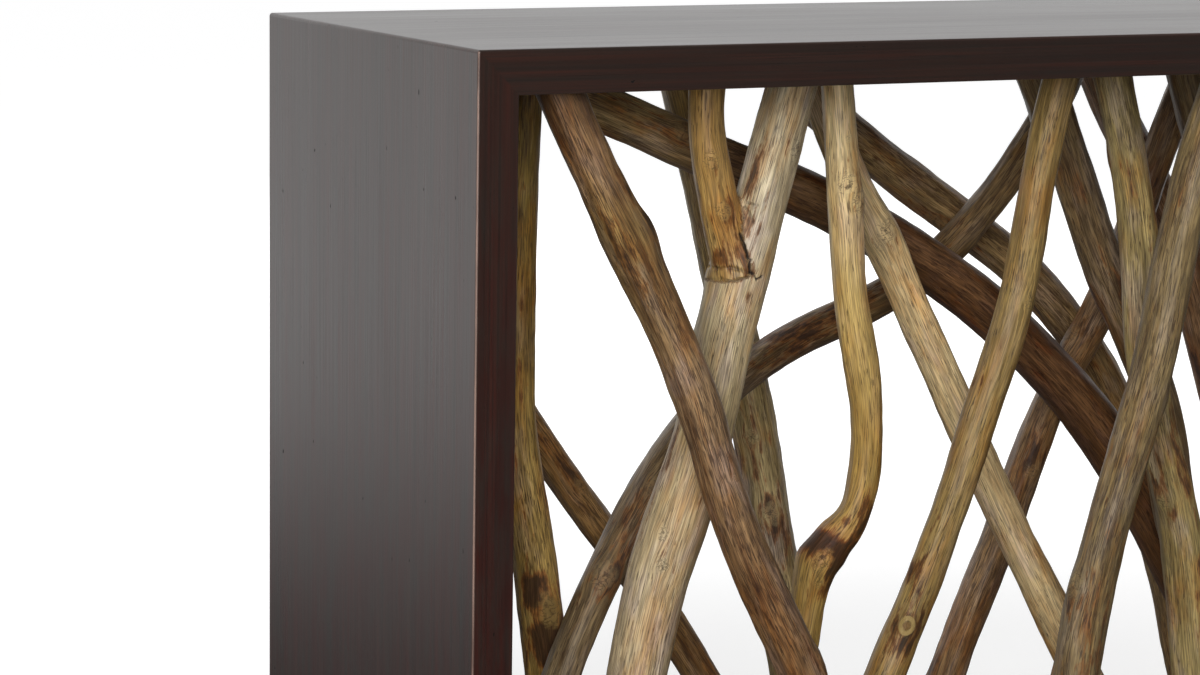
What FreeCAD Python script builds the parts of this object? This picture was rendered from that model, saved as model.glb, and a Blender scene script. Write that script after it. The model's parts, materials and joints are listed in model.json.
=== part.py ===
"""Console table: a mitred box frame of four stained boards, filled with peeled teak branches.

Each branch runs from board to board and is held by a dowel in each end. Millimetres, +Z up, the front
faces -Y, and the origin is on the floor under the middle of the table.
"""
import FreeCAD, Part
import Sketcher
import math
import os

doc = FreeCAD.newDocument("console_table")
sheet = doc.addObject("Spreadsheet::Sheet", "Sizes")

# Driving dimensions in millimetres
SIZES = [
    ("table_width", 1524, "overall width of the frame"),
    ("table_depth", 457, "front to back"),
    ("table_height", 813, "floor to the top face"),
    ("board_thickness", 38, "thickness of the four frame boards"),
    ("edge_radius", 2, "eased arrises of the boards"),
    ("layer_margin", 37, "frame face to the centre line of the nearest layer of branches"),
    ("dowel_diameter", 10, "dowel in each branch end"),
    ("dowel_length", 36, "half of it in the board, half in the branch"),
    ("dowel_clearance", 0.1, "room for glue round a dowel and at its ends"),
    ("spline_thickness", 6, "loose spline in each mitre"),
    ("spline_width", 24, "half of it in each of the two boards"),
    ("spline_offset", 20, "inner corner to the middle of the spline, along the mitre"),
    ("spline_stop", 25, "board face to the end of the spline, so that it stays hidden"),
    ("spline_clearance", 0.1, "room for glue round a spline"),
    ("glide_diameter", 25, "glide where it meets the board"),
    ("glide_sole", 22, "diameter of the glide's flat sole"),
    ("glide_height", 5, "floor to the bottom board"),
    ("glide_inset", 45, "outer face of the frame to the middle of a glide"),
    ("nail_diameter", 3, "nail through each glide"),
    ("nail_length", 20, "whole length of the nail"),
    ("nail_seat", 1.5, "floor to the lower end of the nail"),
    ("nail_clearance", 0.05, "room round the nail"),
]

# Sizes that follow from the driving dimensions
DERIVED = [
    ("opening_width", "table_width - 2 * board_thickness"),
    ("opening_height", "table_height - glide_height - 2 * board_thickness"),
    ("opening_bottom", "glide_height + board_thickness"),
    ("frame_height", "table_height - glide_height"),
    ("frame_middle", "glide_height + (table_height - glide_height) / 2"),
    ("layer_pitch", "(table_depth - 2 * layer_margin) / 5"),
    ("nose_radius", "edge_radius * 1.5"),
]

# Branches from their lower end to their upper end. A point is (across, layer, up, girth): across and up are
# percent of the opening from its left and lower faces, layer counts from 1 at the front to 6 at the back,
# and girth is the share of the branch's own diameter there. The ends lie on a board's inner face.
BRANCHES = {
    "front_branch_1": (40, [
        (26.6, 1, 0, 1.05), (24.2, 1, 13, 1.05), (21.2, 1, 27.5, 1.05), (16.9, 1, 43.7, 1.03),
        (14.3, 1, 56.8, 0.95), (12.8, 1, 64.8, 1), (10, 1, 76.2, 1.02), (8.1, 1, 83.4, 1.1),
        (6.3, 1, 90, 0.98), (3.8, 1, 100, 1)]),
    "front_branch_2": (35, [
        (24.3, 1.65, 0, 1.1), (26.8, 1.65, 12, 1.06), (29.7, 1.65, 24.7, 1.03), (31.5, 1.65, 33, 1),
        (33.2, 1.65, 41, 0.98), (36, 1.65, 56, 0.96), (38.6, 1.65, 72, 0.94), (39.8, 1.65, 86, 0.92),
        (41.4, 1.65, 100, 0.9)]),
    "front_branch_3": (42, [
        (40, 1, 0, 1.05), (41.6, 1.05, 16, 1), (43, 1.1, 32, 1.04), (45.6, 1.1, 50, 0.97),
        (47.6, 1.05, 66, 1), (49, 1, 82, 0.95), (51.8, 1, 100, 0.95)]),
    "front_branch_4": (46, [
        (70, 1.1, 0, 1.05), (68.4, 1.1, 18, 1), (65.6, 1.05, 36, 1.05), (63.6, 1, 54, 0.98),
        (61.4, 1, 70, 1), (58.8, 1.05, 86, 0.95), (57.2, 1.1, 100, 0.93)]),
    "front_branch_5": (38, [
        (75.5, 1, 0, 1.05), (77.6, 1.05, 20, 1.02), (78.8, 1.1, 40, 0.95), (79.8, 1.1, 58, 1.05),
        (81.8, 1.05, 78, 0.97), (83, 1, 100, 0.95)]),
    "front_branch_6": (44, [
        (96.2, 1.1, 0, 1.04), (94.4, 1.1, 18, 1), (93, 1.05, 38, 1.04), (90.6, 1, 56, 0.97),
        (89.4, 1, 76, 1), (87.2, 1.05, 100, 0.94)]),
    "forward_branch_1": (31, [
        (22.6, 2.35, 0, 1.05), (23.6, 2.35, 11, 1), (24.7, 2.3, 22, 0.97), (25.6, 2.3, 32, 0.97),
        (26.4, 2.3, 37.6, 1.24), (28, 2.3, 41.4, 1.2), (29.2, 2.3, 45.8, 0.98), (29.7, 2.3, 53, 0.96),
        (29.1, 2.3, 62.6, 1.08), (28, 2.3, 74, 0.98), (27.5, 2.3, 83.8, 1.06), (27.1, 2.3, 91, 0.95),
        (26.6, 2.3, 100, 0.97)]),
    "forward_branch_2": (40, [
        (58, 2.2, 0, 1.05), (56.2, 2.25, 20, 1), (54.8, 2.3, 38, 1.03), (52, 2.3, 56, 0.95),
        (50.4, 2.25, 76, 0.97), (47.2, 2.2, 100, 0.92)]),
    "forward_branch_3": (36, [
        (86.6, 2.2, 0, 1.05), (88.2, 2.2, 22, 1.03), (90.6, 2.25, 42, 0.96), (91.4, 2.3, 60, 1.02),
        (93.4, 2.25, 80, 0.95), (95, 2.2, 100, 0.93)]),
    "middle_branch_1": (36, [
        (12.8, 4, 0, 1.12), (11, 3.82, 21.9, 1.14), (10.2, 3.75, 31.6, 1.22), (9.7, 3.7, 37.7, 1.17),
        (8.6, 3.62, 47.5, 1.08), (7.8, 3.54, 58, 0.96), (7.5, 3.44, 70, 0.92), (7.4, 3.33, 84, 0.9),
        (7.3, 3.2, 100, 0.92)]),
    "middle_branch_2": (35, [
        (55.5, 3.3, 0, 1.12), (52, 3.3, 12, 1.08), (47.6, 3.3, 27, 1.04), (43, 3.3, 43, 1.02),
        (38.3, 3.3, 60.1, 1), (35.1, 3.3, 71.8, 0.97), (33.4, 3.3, 78, 1.08), (31.6, 3.3, 83.5, 1.02),
        (29.5, 3.3, 92, 1), (27.6, 3.3, 100, 0.98)]),
    "middle_branch_3": (44, [
        (63.4, 3.2, 0, 1.05), (61.6, 3.15, 18, 1), (58, 3.1, 36, 1.05), (55.6, 3.1, 54, 0.98),
        (51, 3.15, 72, 1), (47.6, 3.2, 88, 0.94), (44.6, 3.2, 100, 0.94)]),
    "middle_branch_4": (40, [
        (72, 3.2, 0, 1.06), (74.6, 3.25, 18, 1), (77, 3.3, 36, 1.04), (80.4, 3.3, 54, 0.97),
        (83, 3.25, 72, 1), (85.6, 3.2, 88, 0.95), (88.2, 3.2, 100, 0.93)]),
    "middle_branch_5": (38, [
        (85.4, 3.1, 0, 1.05), (88, 3.1, 14, 1), (91.4, 3.15, 28, 1.04), (95.6, 3.2, 44, 0.97),
        (100, 3.2, 60, 0.95)]),
    "rear_branch_1": (48, [
        (69, 4, 0, 1.12), (66, 4, 12, 1.1), (61, 4, 29, 1.08), (55, 4, 46, 1.09), (48, 4, 60, 1.08),
        (40.5, 4, 71, 1.08), (36.5, 4, 75.7, 1.05), (30.8, 4, 81.5, 1.03), (24.3, 4, 86.6, 0.98),
        (18.3, 4, 91.5, 0.96), (7.8, 4, 100, 0.92)]),
    "rear_branch_2": (36, [
        (5.6, 3, 0, 1.06), (8, 3, 14, 1.02), (9.9, 3, 24.8, 0.98), (12.9, 3.2, 35, 0.98),
        (17.1, 3.6, 44.8, 0.98), (22.2, 4.1, 53, 1), (27.6, 4.6, 57.8, 1.02), (33.1, 5, 61.4, 1.05),
        (38.8, 5, 65.5, 1.03), (44, 5, 71, 1), (49.6, 5, 82, 0.98), (53.6, 5, 93, 0.96),
        (55.4, 5, 100, 0.94)]),
    "rear_branch_3": (34, [
        (31.2, 5.4, 0, 1.06), (29, 5.4, 8, 1.02), (25.2, 5.35, 19.8, 0.98), (20.7, 5.3, 31.9, 0.98),
        (13.7, 5.3, 50.2, 1), (6.4, 5.3, 72, 0.97), (0, 5.3, 90, 0.95)]),
    "rear_branch_4": (42, [
        (78, 4.1, 0, 1.06), (76.2, 4.15, 16, 1), (73.6, 4.2, 34, 1.05), (69.8, 4.2, 52, 0.98),
        (67.2, 4.15, 70, 1), (63, 4.1, 86, 0.95), (60.4, 4.1, 100, 0.93)]),
    "rear_branch_5": (40, [
        (84.6, 4.1, 0, 1.05), (86.8, 4.1, 18, 1), (88.4, 4.15, 36, 1.03), (91.6, 4.2, 54, 0.97),
        (93.6, 4.2, 72, 1), (95.2, 4.15, 86, 0.95), (96.8, 4.1, 100, 0.93)]),
    "rear_branch_6": (38, [
        (44, 5, 0, 1.07), (46.8, 5, 16, 1), (50.6, 5.05, 32, 1.05), (54, 5.1, 48, 0.97),
        (58.8, 5.1, 64, 1), (62, 5.05, 80, 0.95), (66, 5, 100, 0.92)]),
    "rear_branch_7": (40, [
        (92.4, 5, 0, 1.06), (90, 5, 18, 1), (87.8, 5.05, 34, 1.04), (84.2, 5.1, 52, 0.97),
        (82.2, 5.1, 68, 1), (79.6, 5.05, 84, 0.95), (77.6, 5, 100, 0.93)]),
    "rear_branch_8": (34, [
        (100, 5.15, 36, 1.05), (97.6, 5.15, 52, 1), (95.6, 5.1, 68, 1.03), (92.8, 5.1, 84, 0.96),
        (91, 5.1, 100, 0.95)]),
    "back_branch_1": (40, [
        (7.6, 6, 0, 1.06), (6.6, 6, 20, 1), (5.2, 6, 42, 1.05), (5.8, 6, 62, 0.97), (4.6, 6, 82, 0.98),
        (5, 6, 100, 0.94)]),
    "back_branch_2": (45, [
        (37.6, 6, 0, 1.08), (36.4, 6, 11.3, 1.05), (34.7, 6, 28.1, 1.04), (33.7, 6, 37.7, 1.04),
        (31.9, 6, 53.5, 1.02), (30.2, 6, 66.6, 1), (28, 6, 83.3, 0.98), (25.6, 6, 100, 0.95)]),
    "back_branch_3": (43, [
        (72, 6, 0, 1.1), (70.6, 6, 10, 1.08), (68.4, 6, 24, 1.05), (65, 6, 40, 1.06), (60.6, 6, 55, 1.02),
        (54.6, 6, 67, 1.03), (47.3, 6, 77.2, 1), (40.3, 6, 86.7, 1), (31.5, 6, 100, 0.97)]),
    "back_branch_4": (46, [
        (81, 6, 0, 1.06), (79, 6, 18, 1), (75.4, 6, 36, 1.05), (71.8, 6, 54, 0.98), (68.6, 6, 70, 1),
        (63.4, 6, 86, 0.95), (59.6, 6, 100, 0.93)]),
    "back_branch_5": (40, [
        (88, 6, 0, 1.05), (89.4, 6, 20, 1.02), (88.2, 6, 42, 0.96), (90, 6, 62, 1.03), (91.6, 6, 82, 0.95),
        (90.8, 6, 100, 0.94)]),
    "forked_branch_1": (56, [
        (10.4, 2, 0, 1.02), (11.3, 2, 14, 0.98), (12.4, 2, 26.9, 0.97), (13.9, 2, 39.4, 1.04),
        (14.9, 2, 45, 1.07), (16.8, 2, 56.6, 0.97), (18.1, 2, 68.5, 0.96), (19.2, 2, 76, 0.94),
        (20.7, 2, 85.7, 0.87), (21.6, 2, 92, 0.85), (22.7, 2, 100, 0.82)]),
    "forked_branch_2": (54, [
        (80.4, 2.1, 0, 1.05), (78.8, 2.1, 16, 1), (77.4, 2.1, 32, 1.03), (75, 2.1, 46, 1.06),
        (73.4, 2.1, 58, 0.93), (71.2, 2.1, 74, 0.84), (68.9, 2.05, 88, 0.8), (68, 2, 100, 0.77)]),
}

# The second prong of a forked branch grows out of the trunk; its first point is inside the trunk
PRONGS = {
    "forked_branch_1": (36, [
        (18.9, 2, 69, 0.9), (18.5, 2, 77, 1.06), (17.7, 2, 82.6, 1.02), (17.1, 2, 87.6, 1),
        (16.6, 2, 93.5, 0.94), (16.6, 2, 100, 0.95)]),
    "forked_branch_2": (38, [
        (76.3, 2.1, 38, 0.9), (75.5, 2.12, 52, 1.04), (76.7, 2.15, 66, 1), (77.5, 2.2, 82, 0.95),
        (79, 2.2, 100, 0.93)]),
}

# The whole opening and its middle, in percent
WHOLE = 100
MIDDLE = WHOLE / 2

# Branch diameters between two sections of a branch, and how far its loft runs on into the boards
SECTION_STEP = 1.2
OVERRUN = 2.2


def value(alias):
    """The number in one cell of the sheet."""
    return float(sheet.get(alias))


def fill_sheet():
    """Write every size into the sheet under its own name."""
    rows = [(alias, str(size), note) for alias, size, note in SIZES]
    rows += [(alias, "=" + formula, "worked out") for alias, formula in DERIVED]
    for table, word in ((BRANCHES, "diameter"), (PRONGS, "prong_diameter")):
        for name, (diameter, _) in table.items():
            rows.append((name + "_" + word, str(diameter), "nominal diameter of this branch"))
    for row, (alias, text, note) in enumerate(rows, start=1):
        sheet.set("A%d" % row, alias)
        sheet.set("B%d" % row, text)
        sheet.set("C%d" % row, note)
        sheet.setAlias("B%d" % row, alias)
    doc.recompute()


def bind(obj, **formulas):
    """Tie properties of an object to formulas; place_x, place_y and place_z stand for its position."""
    for key, formula in formulas.items():
        path = key.replace("place_", ".Placement.Base.") if key.startswith("place_") else key
        obj.setExpression(path, formula)


def cell(alias):
    """A sheet cell as it is written in a formula."""
    return "Sizes." + alias


def point_formulas(across, layer, up):
    """Formulas for a point of the opening, given in percent across, layer and percent up."""
    return {
        "place_x": "Sizes.opening_width * %g" % ((across - MIDDLE) / WHOLE),
        "place_y": "Sizes.layer_margin - Sizes.table_depth / 2 + Sizes.layer_pitch * %g" % (layer - 1),
        "place_z": "Sizes.opening_bottom + Sizes.opening_height * %g" % (up / WHOLE),
    }


def point_vector(across, layer, up):
    """The same point in millimetres, at the sheet's present sizes."""
    return FreeCAD.Vector(
        value("opening_width") * (across - MIDDLE) / WHOLE,
        value("layer_margin") - value("table_depth") / 2 + value("layer_pitch") * (layer - 1),
        value("opening_bottom") + value("opening_height") * up / WHOLE)


def cylinder(name, diameter, length, turn=None, **places):
    """A round pin; turn sets its axis, which is +Z otherwise."""
    pin = doc.addObject("Part::Cylinder", name)
    if turn:
        pin.Placement = FreeCAD.Placement(FreeCAD.Vector(), turn)
    bind(pin, Radius="(%s) / 2" % diameter, Height=length, **places)
    return pin


def compound(name, members):
    """Separate solids that share one node."""
    group = doc.addObject("Part::Compound", name)
    group.Links = members
    return group


def cut(name, base, tools):
    """The base with every tool's room taken out of it."""
    piece = doc.addObject("Part::Cut", name)
    piece.Base = base
    piece.Tool = tools[0] if len(tools) == 1 else compound(name + "_tools", tools)
    return piece


# Frame boards

def origin_sketch(body, name, role):
    """A sketch on one of the body's own origin planes."""
    plane = [feature for feature in body.Origin.OriginFeatures if feature.Role == role][0]
    sketch = body.newObject("Sketcher::SketchObject", name + "_sketch")
    sketch.AttachmentSupport = [(plane, "")]
    sketch.MapMode = "FlatFace"
    return sketch


def plank_sketch(body, name):
    """The plank's cross-section: as wide as the table is deep, hanging below its outer face."""
    sketch = origin_sketch(body, name, "YZ_Plane")
    half = value("table_depth") / 2
    thick = value("board_thickness")
    corners = [(-half, 0), (half, 0), (half, -thick), (-half, -thick)]
    for index, (x, y) in enumerate(corners):
        next_x, next_y = corners[(index + 1) % 4]
        sketch.addGeometry(Part.LineSegment(FreeCAD.Vector(x, y, 0), FreeCAD.Vector(next_x, next_y, 0)))
    for index in range(4):
        sketch.addConstraint(Sketcher.Constraint("Coincident", index, 2, (index + 1) % 4, 1))
    for index, direction in enumerate(("Horizontal", "Vertical", "Horizontal", "Vertical")):
        sketch.addConstraint(Sketcher.Constraint(direction, index))
    sketch.addConstraint(Sketcher.Constraint("Symmetric", 0, 1, 0, 2, -1, 1))
    width = sketch.addConstraint(Sketcher.Constraint("DistanceX", 0, 1, 0, 2, 2 * half))
    depth = sketch.addConstraint(Sketcher.Constraint("DistanceY", 1, 2, 1, 1, thick))
    sketch.setExpression("Constraints[%d]" % width, cell("table_depth"))
    sketch.setExpression("Constraints[%d]" % depth, cell("board_thickness"))
    return sketch


def mitre_sketch(body, name, length):
    """Long outer edge on the X axis, short inner edge below it, mitred ends with a rounded nose."""
    sketch = origin_sketch(body, name, "XZ_Plane")
    half = value(length) / 2
    thick = value("board_thickness")
    nose = value("nose_radius")
    tip = nose * (1 - math.sqrt(0.5))
    outer_left = FreeCAD.Vector(nose - half, 0, 0)
    outer_right = FreeCAD.Vector(half - nose, 0, 0)
    tip_left = FreeCAD.Vector(tip - half, -tip, 0)
    tip_right = FreeCAD.Vector(half - tip, -tip, 0)
    inner_left = FreeCAD.Vector(thick - half, -thick, 0)
    inner_right = FreeCAD.Vector(half - thick, -thick, 0)
    drop = FreeCAD.Vector(0, -nose, 0)
    normal = FreeCAD.Vector(0, 0, 1)
    right_circle = Part.Circle(outer_right + drop, normal, nose)
    left_circle = Part.Circle(outer_left + drop, normal, nose)
    quarter = math.pi / 2
    outer = sketch.addGeometry(Part.LineSegment(outer_left, outer_right))
    right_nose = sketch.addGeometry(Part.ArcOfCircle(right_circle, quarter / 2, quarter))
    right_mitre = sketch.addGeometry(Part.LineSegment(tip_right, inner_right))
    inner = sketch.addGeometry(Part.LineSegment(inner_right, inner_left))
    left_mitre = sketch.addGeometry(Part.LineSegment(inner_left, tip_left))
    left_nose = sketch.addGeometry(Part.ArcOfCircle(left_circle, quarter, 1.5 * quarter))
    constrain_mitres(sketch, outer, right_nose, right_mitre, inner, left_mitre, left_nose)
    sketch.setExpression("Constraints.inner_length", "%s - 2 * Sizes.board_thickness" % cell(length))
    sketch.setExpression("Constraints.thickness", cell("board_thickness"))
    sketch.setExpression("Constraints.nose", cell("nose_radius"))
    return sketch


def constrain_mitres(sketch, outer, right_nose, right_mitre, inner, left_mitre, left_nose):
    """Join the six edges, square them up and name the sizes that the sheet drives."""
    start, end, centre = 1, 2, 3
    horizontal_axis, vertical_axis = -1, -2
    rules = [
        ("Tangent", outer, end, right_nose, end),
        ("Tangent", outer, start, left_nose, start),
        ("Coincident", right_nose, start, right_mitre, start),
        ("Coincident", right_mitre, end, inner, start),
        ("Coincident", inner, end, left_mitre, start),
        ("Coincident", left_mitre, end, left_nose, end),
        ("PointOnObject", outer, start, horizontal_axis),
        ("Symmetric", outer, start, outer, end, vertical_axis),
        ("Symmetric", inner, start, inner, end, vertical_axis),
        ("PointOnObject", right_nose, centre, right_mitre),
        ("PointOnObject", left_nose, centre, left_mitre),
        ("Perpendicular", right_mitre, left_mitre),
        ("Equal", right_nose, left_nose),
    ]
    for rule in rules:
        sketch.addConstraint(Sketcher.Constraint(*rule))
    inner_length = sketch.Geometry[inner].length()
    named = {
        "inner_length": ("DistanceX", inner, end, inner, start, inner_length),
        "thickness": ("DistanceY", inner, start, outer, end, value("board_thickness")),
        "nose": ("Radius", right_nose, value("nose_radius")),
    }
    for name, rule in named.items():
        index = sketch.addConstraint(Sketcher.Constraint(*rule))
        sketch.renameConstraint(index, name)


def padded_body(name, sketch_maker, thickness, *sizes):
    """A body that is one sketch, padded to both sides of its plane."""
    body = doc.addObject("PartDesign::Body", name)
    pad = body.newObject("PartDesign::Pad", name + "_pad")
    pad.Profile = sketch_maker(body, name, *sizes)
    pad.SideType = "Symmetric"
    pad.setExpression("Length", cell(thickness))
    body.Tip = pad
    doc.recompute()
    return body, pad


def plank_body(name, length):
    """A plank as long as the board, with its four long arrises eased."""
    body, pad = padded_body(name, plank_sketch, length)
    edges = ["Edge%d" % number for number, edge in enumerate(pad.Shape.Edges, start=1)
             if abs(edge.Vertexes[0].X - edge.Vertexes[-1].X) > value("table_depth") / 2]
    arrises = body.newObject("PartDesign::Fillet", name + "_arrises")
    arrises.Base = (pad, edges)
    arrises.setExpression("Radius", cell("edge_radius"))
    body.Tip = arrises
    return body


def frame_board(name, length, turn, tools, **places):
    """One board of the frame: its outer face is turned to the outside and its middle placed there."""
    mitred = doc.addObject("Part::Common", name + "_mitred")
    mitred.Base = plank_body(name + "_plank", length)
    mitred.Tool = padded_body(name + "_mitres", mitre_sketch, "table_depth", length)[0]
    mitred.Placement = FreeCAD.Placement(FreeCAD.Vector(), FreeCAD.Rotation(FreeCAD.Vector(0, 1, 0), turn))
    bind(mitred, **places)
    return cut(name, mitred, tools)


def spline_box(name, side, rise, room):
    """A flat spline across one mitre; side is -1 left or 1 right, rise is -1 low or 1 high."""
    box = doc.addObject("Part::Box", name)
    turn = 45 * side * rise
    box.Placement = FreeCAD.Placement(FreeCAD.Vector(), FreeCAD.Rotation(FreeCAD.Vector(0, 1, 0), turn))
    length = "(Sizes.spline_thickness + %s)" % room
    height = "(Sizes.spline_width + %s)" % room
    width = "(Sizes.table_depth - 2 * Sizes.spline_stop + %s)" % room
    along = "Sizes.spline_offset * sqrt(0.5)"
    corner_x = "%d * (Sizes.opening_width / 2 + %s)" % (side, along)
    corner_z = "Sizes.frame_middle + %d * (Sizes.opening_height / 2 + %s)" % (rise, along)
    swing = side * rise
    bind(
        box, Length=length, Height=height, Width=width,
        place_x="%s - sqrt(0.5) * (%s + %d * %s) / 2" % (corner_x, length, swing, height),
        place_y="-%s / 2" % width,
        place_z="%s - sqrt(0.5) * (%s - %d * %s) / 2" % (corner_z, height, swing, length))
    return box


# Branches

def opening_shares(spot):
    """A point in millimetres as percent across, layer and percent up."""
    front_layer = value("layer_margin") - value("table_depth") / 2
    return (
        MIDDLE + WHOLE * spot.x / value("opening_width"),
        1 + (spot.y - front_layer) / value("layer_pitch"),
        WHOLE * (spot.z - value("opening_bottom")) / value("opening_height"))


def girth_at(path, stops, at):
    """Girth between two points of a path, in proportion to the way along it."""
    index = max(number for number in range(len(path) - 1) if number == 0 or stops[number] <= at)
    share = (at - stops[index]) / (stops[index + 1] - stops[index])
    return path[index][3] * (1 - share) + path[index + 1][3] * share


def smooth_path(path, diameter):
    """Sections a little over a diameter apart, on a smooth curve through the points of a path."""
    spacing = SECTION_STEP * diameter
    points = [point_vector(*point[:3]) for point in path]
    curve = Part.BSplineCurve()
    curve.interpolate(points)
    stops = [curve.parameter(point) for point in points]
    sections = []
    for spot in curve.discretize(Number=int(curve.length() / spacing) + 2):
        at = curve.parameter(spot)
        sections.append((opening_shares(spot), curve.tangent(at)[0], girth_at(path, stops, at)))
    return sections


def section(name, diameter, place, along, girth, shift):
    """A round section square to the path; shift moves it along the path past the end of the branch."""
    ring = doc.addObject("Part::Circle", name)
    upright = FreeCAD.Vector(0, 0, 1)
    ring.Placement = FreeCAD.Placement(FreeCAD.Vector(), FreeCAD.Rotation(upright, along))
    formulas = point_formulas(*place)
    if shift:
        for key, step in zip(formulas, along):
            formulas[key] += " + %s * %g" % (diameter, shift * step)
    bind(ring, Radius="%s * %g" % (diameter, girth / 2), **formulas)
    return ring


def branch_loft(name, alias, path, from_board=True):
    """A branch as a smooth loft through its sections, run on past the boards that will trim it."""
    diameter = cell(alias)
    sections = smooth_path(path, value(alias))
    rings = [section("%s_%d" % (name, number), diameter, place, along, girth, 0)
             for number, (place, along, girth) in enumerate(sections)]
    if from_board:
        rings.insert(0, section(name + "_foot", diameter, *sections[0], -OVERRUN))
    rings.append(section(name + "_head", diameter, *sections[-1], OVERRUN))
    loft = doc.addObject("Part::Loft", name + "_loft")
    loft.Sections = rings
    loft.Solid = True
    return loft, [sections[0][1], sections[-1][1]]


def end_board(point):
    """The board whose inner face a branch end lies on."""
    across, _, up, _ = point
    reach = {"bottom": up, "top": WHOLE - up, "left": across, "right": WHOLE - across}
    return min(reach, key=reach.get)


def dowel_axis(board, along):
    """A dowel halves the angle between its branch and the line square to the board."""
    square = FreeCAD.Vector(1, 0, 0) if board in ("left", "right") else FreeCAD.Vector(0, 0, 1)
    if along.dot(square) < 0:
        square = square * -1
    return (along + square).normalize()


def dowel_pin(name, point, along, room):
    """A dowel, or its hole with room to spare, half on each side of the joint."""
    axis = dowel_axis(end_board(point), along)
    length = "(Sizes.dowel_length + %s)" % room
    places = point_formulas(*point[:3])
    for key, step in zip(places, axis):
        places[key] += " - %s * %g" % (length, step / 2)
    turn = FreeCAD.Rotation(FreeCAD.Vector(0, 0, 1), axis)
    return cylinder(name, "Sizes.dowel_diameter + %s" % room, length, turn, **places)


def branch(name, opening, pins, holes):
    """One branch trimmed flat against the boards, with a hole for the dowel in each end."""
    path = BRANCHES[name][1]
    wood, directions = branch_loft(name, name + "_diameter", path)
    ends = list(zip((path[0], path[-1]), directions))
    if name in PRONGS:
        prong_path = PRONGS[name][1]
        prong, directions = branch_loft(name + "_prong", name + "_prong_diameter", prong_path, False)
        ends.append((prong_path[-1], directions[-1]))
        fork = doc.addObject("Part::Fuse", name + "_fork")
        fork.Base = wood
        fork.Tool = prong
        wood = fork
    trimmed = doc.addObject("Part::Common", name + "_trimmed")
    trimmed.Base = wood
    trimmed.Tool = opening
    own_holes = []
    for number, (point, along) in enumerate(ends, start=1):
        board = end_board(point)
        pins[board].append(dowel_pin("%s_dowel_%d" % (name, number), point, along, "0"))
        own_holes.append(dowel_pin("%s_hole_%d" % (name, number), point, along, cell("dowel_clearance")))
        holes[board].append(own_holes[-1])
    return cut(name, trimmed, own_holes)


def opening_box():
    """The room inside the frame, between the front and back faces."""
    box = doc.addObject("Part::Box", "opening")
    bind(
        box, Length=cell("opening_width"), Width=cell("table_depth"), Height=cell("opening_height"),
        place_x="-Sizes.opening_width / 2", place_y="-Sizes.table_depth / 2",
        place_z=cell("opening_bottom"))
    return box


# Glides

def glide_places():
    """Formulas for the middles of the six glides, two rows of three."""
    across = "(Sizes.table_width / 2 - Sizes.glide_inset)"
    along = "(Sizes.table_depth / 2 - Sizes.glide_inset)"
    return [
        {"place_x": "%d * %s" % (column, across), "place_y": "%d * %s" % (row, along)}
        for row in (-1, 1) for column in (-1, 0, 1)]


def glides_and_nails():
    """Six glides, each on its own nail, and the nail holes that the bottom board needs."""
    glides, nails, nail_holes = [], [], []
    for number, places in enumerate(glide_places(), start=1):
        disc = doc.addObject("Part::Cone", "glide_disc_%d" % number)
        bind(
            disc, Radius1="Sizes.glide_sole / 2", Radius2="Sizes.glide_diameter / 2",
            Height=cell("glide_height"), **places)
        seat = dict(places, place_z=cell("nail_seat"))
        nails.append(cylinder("nail_%d" % number, cell("nail_diameter"), cell("nail_length"), **seat))
        hole_diameter = "Sizes.nail_diameter + 2 * Sizes.nail_clearance"
        hole_length = "Sizes.nail_length + Sizes.nail_clearance"
        hole = cylinder("nail_hole_%d" % number, hole_diameter, hole_length, **seat)
        nail_holes.append(hole)
        glides.append(cut("glide_%d" % number, disc, [hole]))
    return glides, nails, nail_holes


# Assembly

def build():
    """Every sub-part of the table, in the order of the files that are written."""
    fill_sheet()
    opening = opening_box()
    boards = ("top", "bottom", "left", "right")
    pins = {board: [] for board in boards}
    holes = {board: [] for board in boards}
    pieces = [branch(name, opening, pins, holes) for name in BRANCHES]
    for side_name, side in (("left", -1), ("right", 1)):
        for rise_name, rise in (("bottom", -1), ("top", 1)):
            corner = "%s_%s" % (rise_name, side_name)
            pieces.append(spline_box("mitre_spline_" + corner, side, rise, "0"))
            slot = spline_box("mitre_slot_" + corner, side, rise, cell("spline_clearance"))
            holes[side_name].append(slot)
            holes[rise_name].append(slot)
    glides, nails, nail_holes = glides_and_nails()
    holes["bottom"] += nail_holes
    half_width = "Sizes.table_width / 2"
    pieces += [
        frame_board("top_board", "table_width", 0, holes["top"], place_z=cell("table_height")),
        frame_board("bottom_board", "table_width", 180, holes["bottom"], place_z=cell("glide_height")),
        frame_board("left_board", "frame_height", -90, holes["left"],
                    place_x="-" + half_width, place_z=cell("frame_middle")),
        frame_board("right_board", "frame_height", 90, holes["right"],
                    place_x=half_width, place_z=cell("frame_middle")),
    ]
    pieces += [compound(board + "_dowels", pins[board]) for board in boards]
    pieces += [compound("foot_glides", glides), compound("glide_nails", nails)]
    doc.recompute()
    return pieces


def check_and_write(pieces):
    """Stop on any failed object, then write one file for each sub-part."""
    for obj in doc.Objects:
        if "Invalid" in obj.State or "Error" in obj.State:
            raise RuntimeError("%s failed: %s" % (obj.Name, obj.State))
    for piece in pieces:
        if piece.Shape.isNull() or not piece.Shape.isValid() or not piece.Shape.Solids:
            raise RuntimeError("%s has no valid solid" % piece.Label)
    os.makedirs("parts", exist_ok=True)
    for piece in pieces:
        piece.Shape.exportStep("parts/%s.step" % piece.Label)
        print("%-24s %2d solids %10.1f cm3" % (
            piece.Label, len(piece.Shape.Solids), piece.Shape.Volume / 1000))


check_and_write(build())
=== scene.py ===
"""Console table of stained boards and peeled teak branches: its looks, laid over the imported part."""

import json
import math
import random

import bmesh
import bpy
import numpy as np
from mathutils import Matrix, Vector, noise
from mathutils.bvhtree import BVHTree


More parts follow.
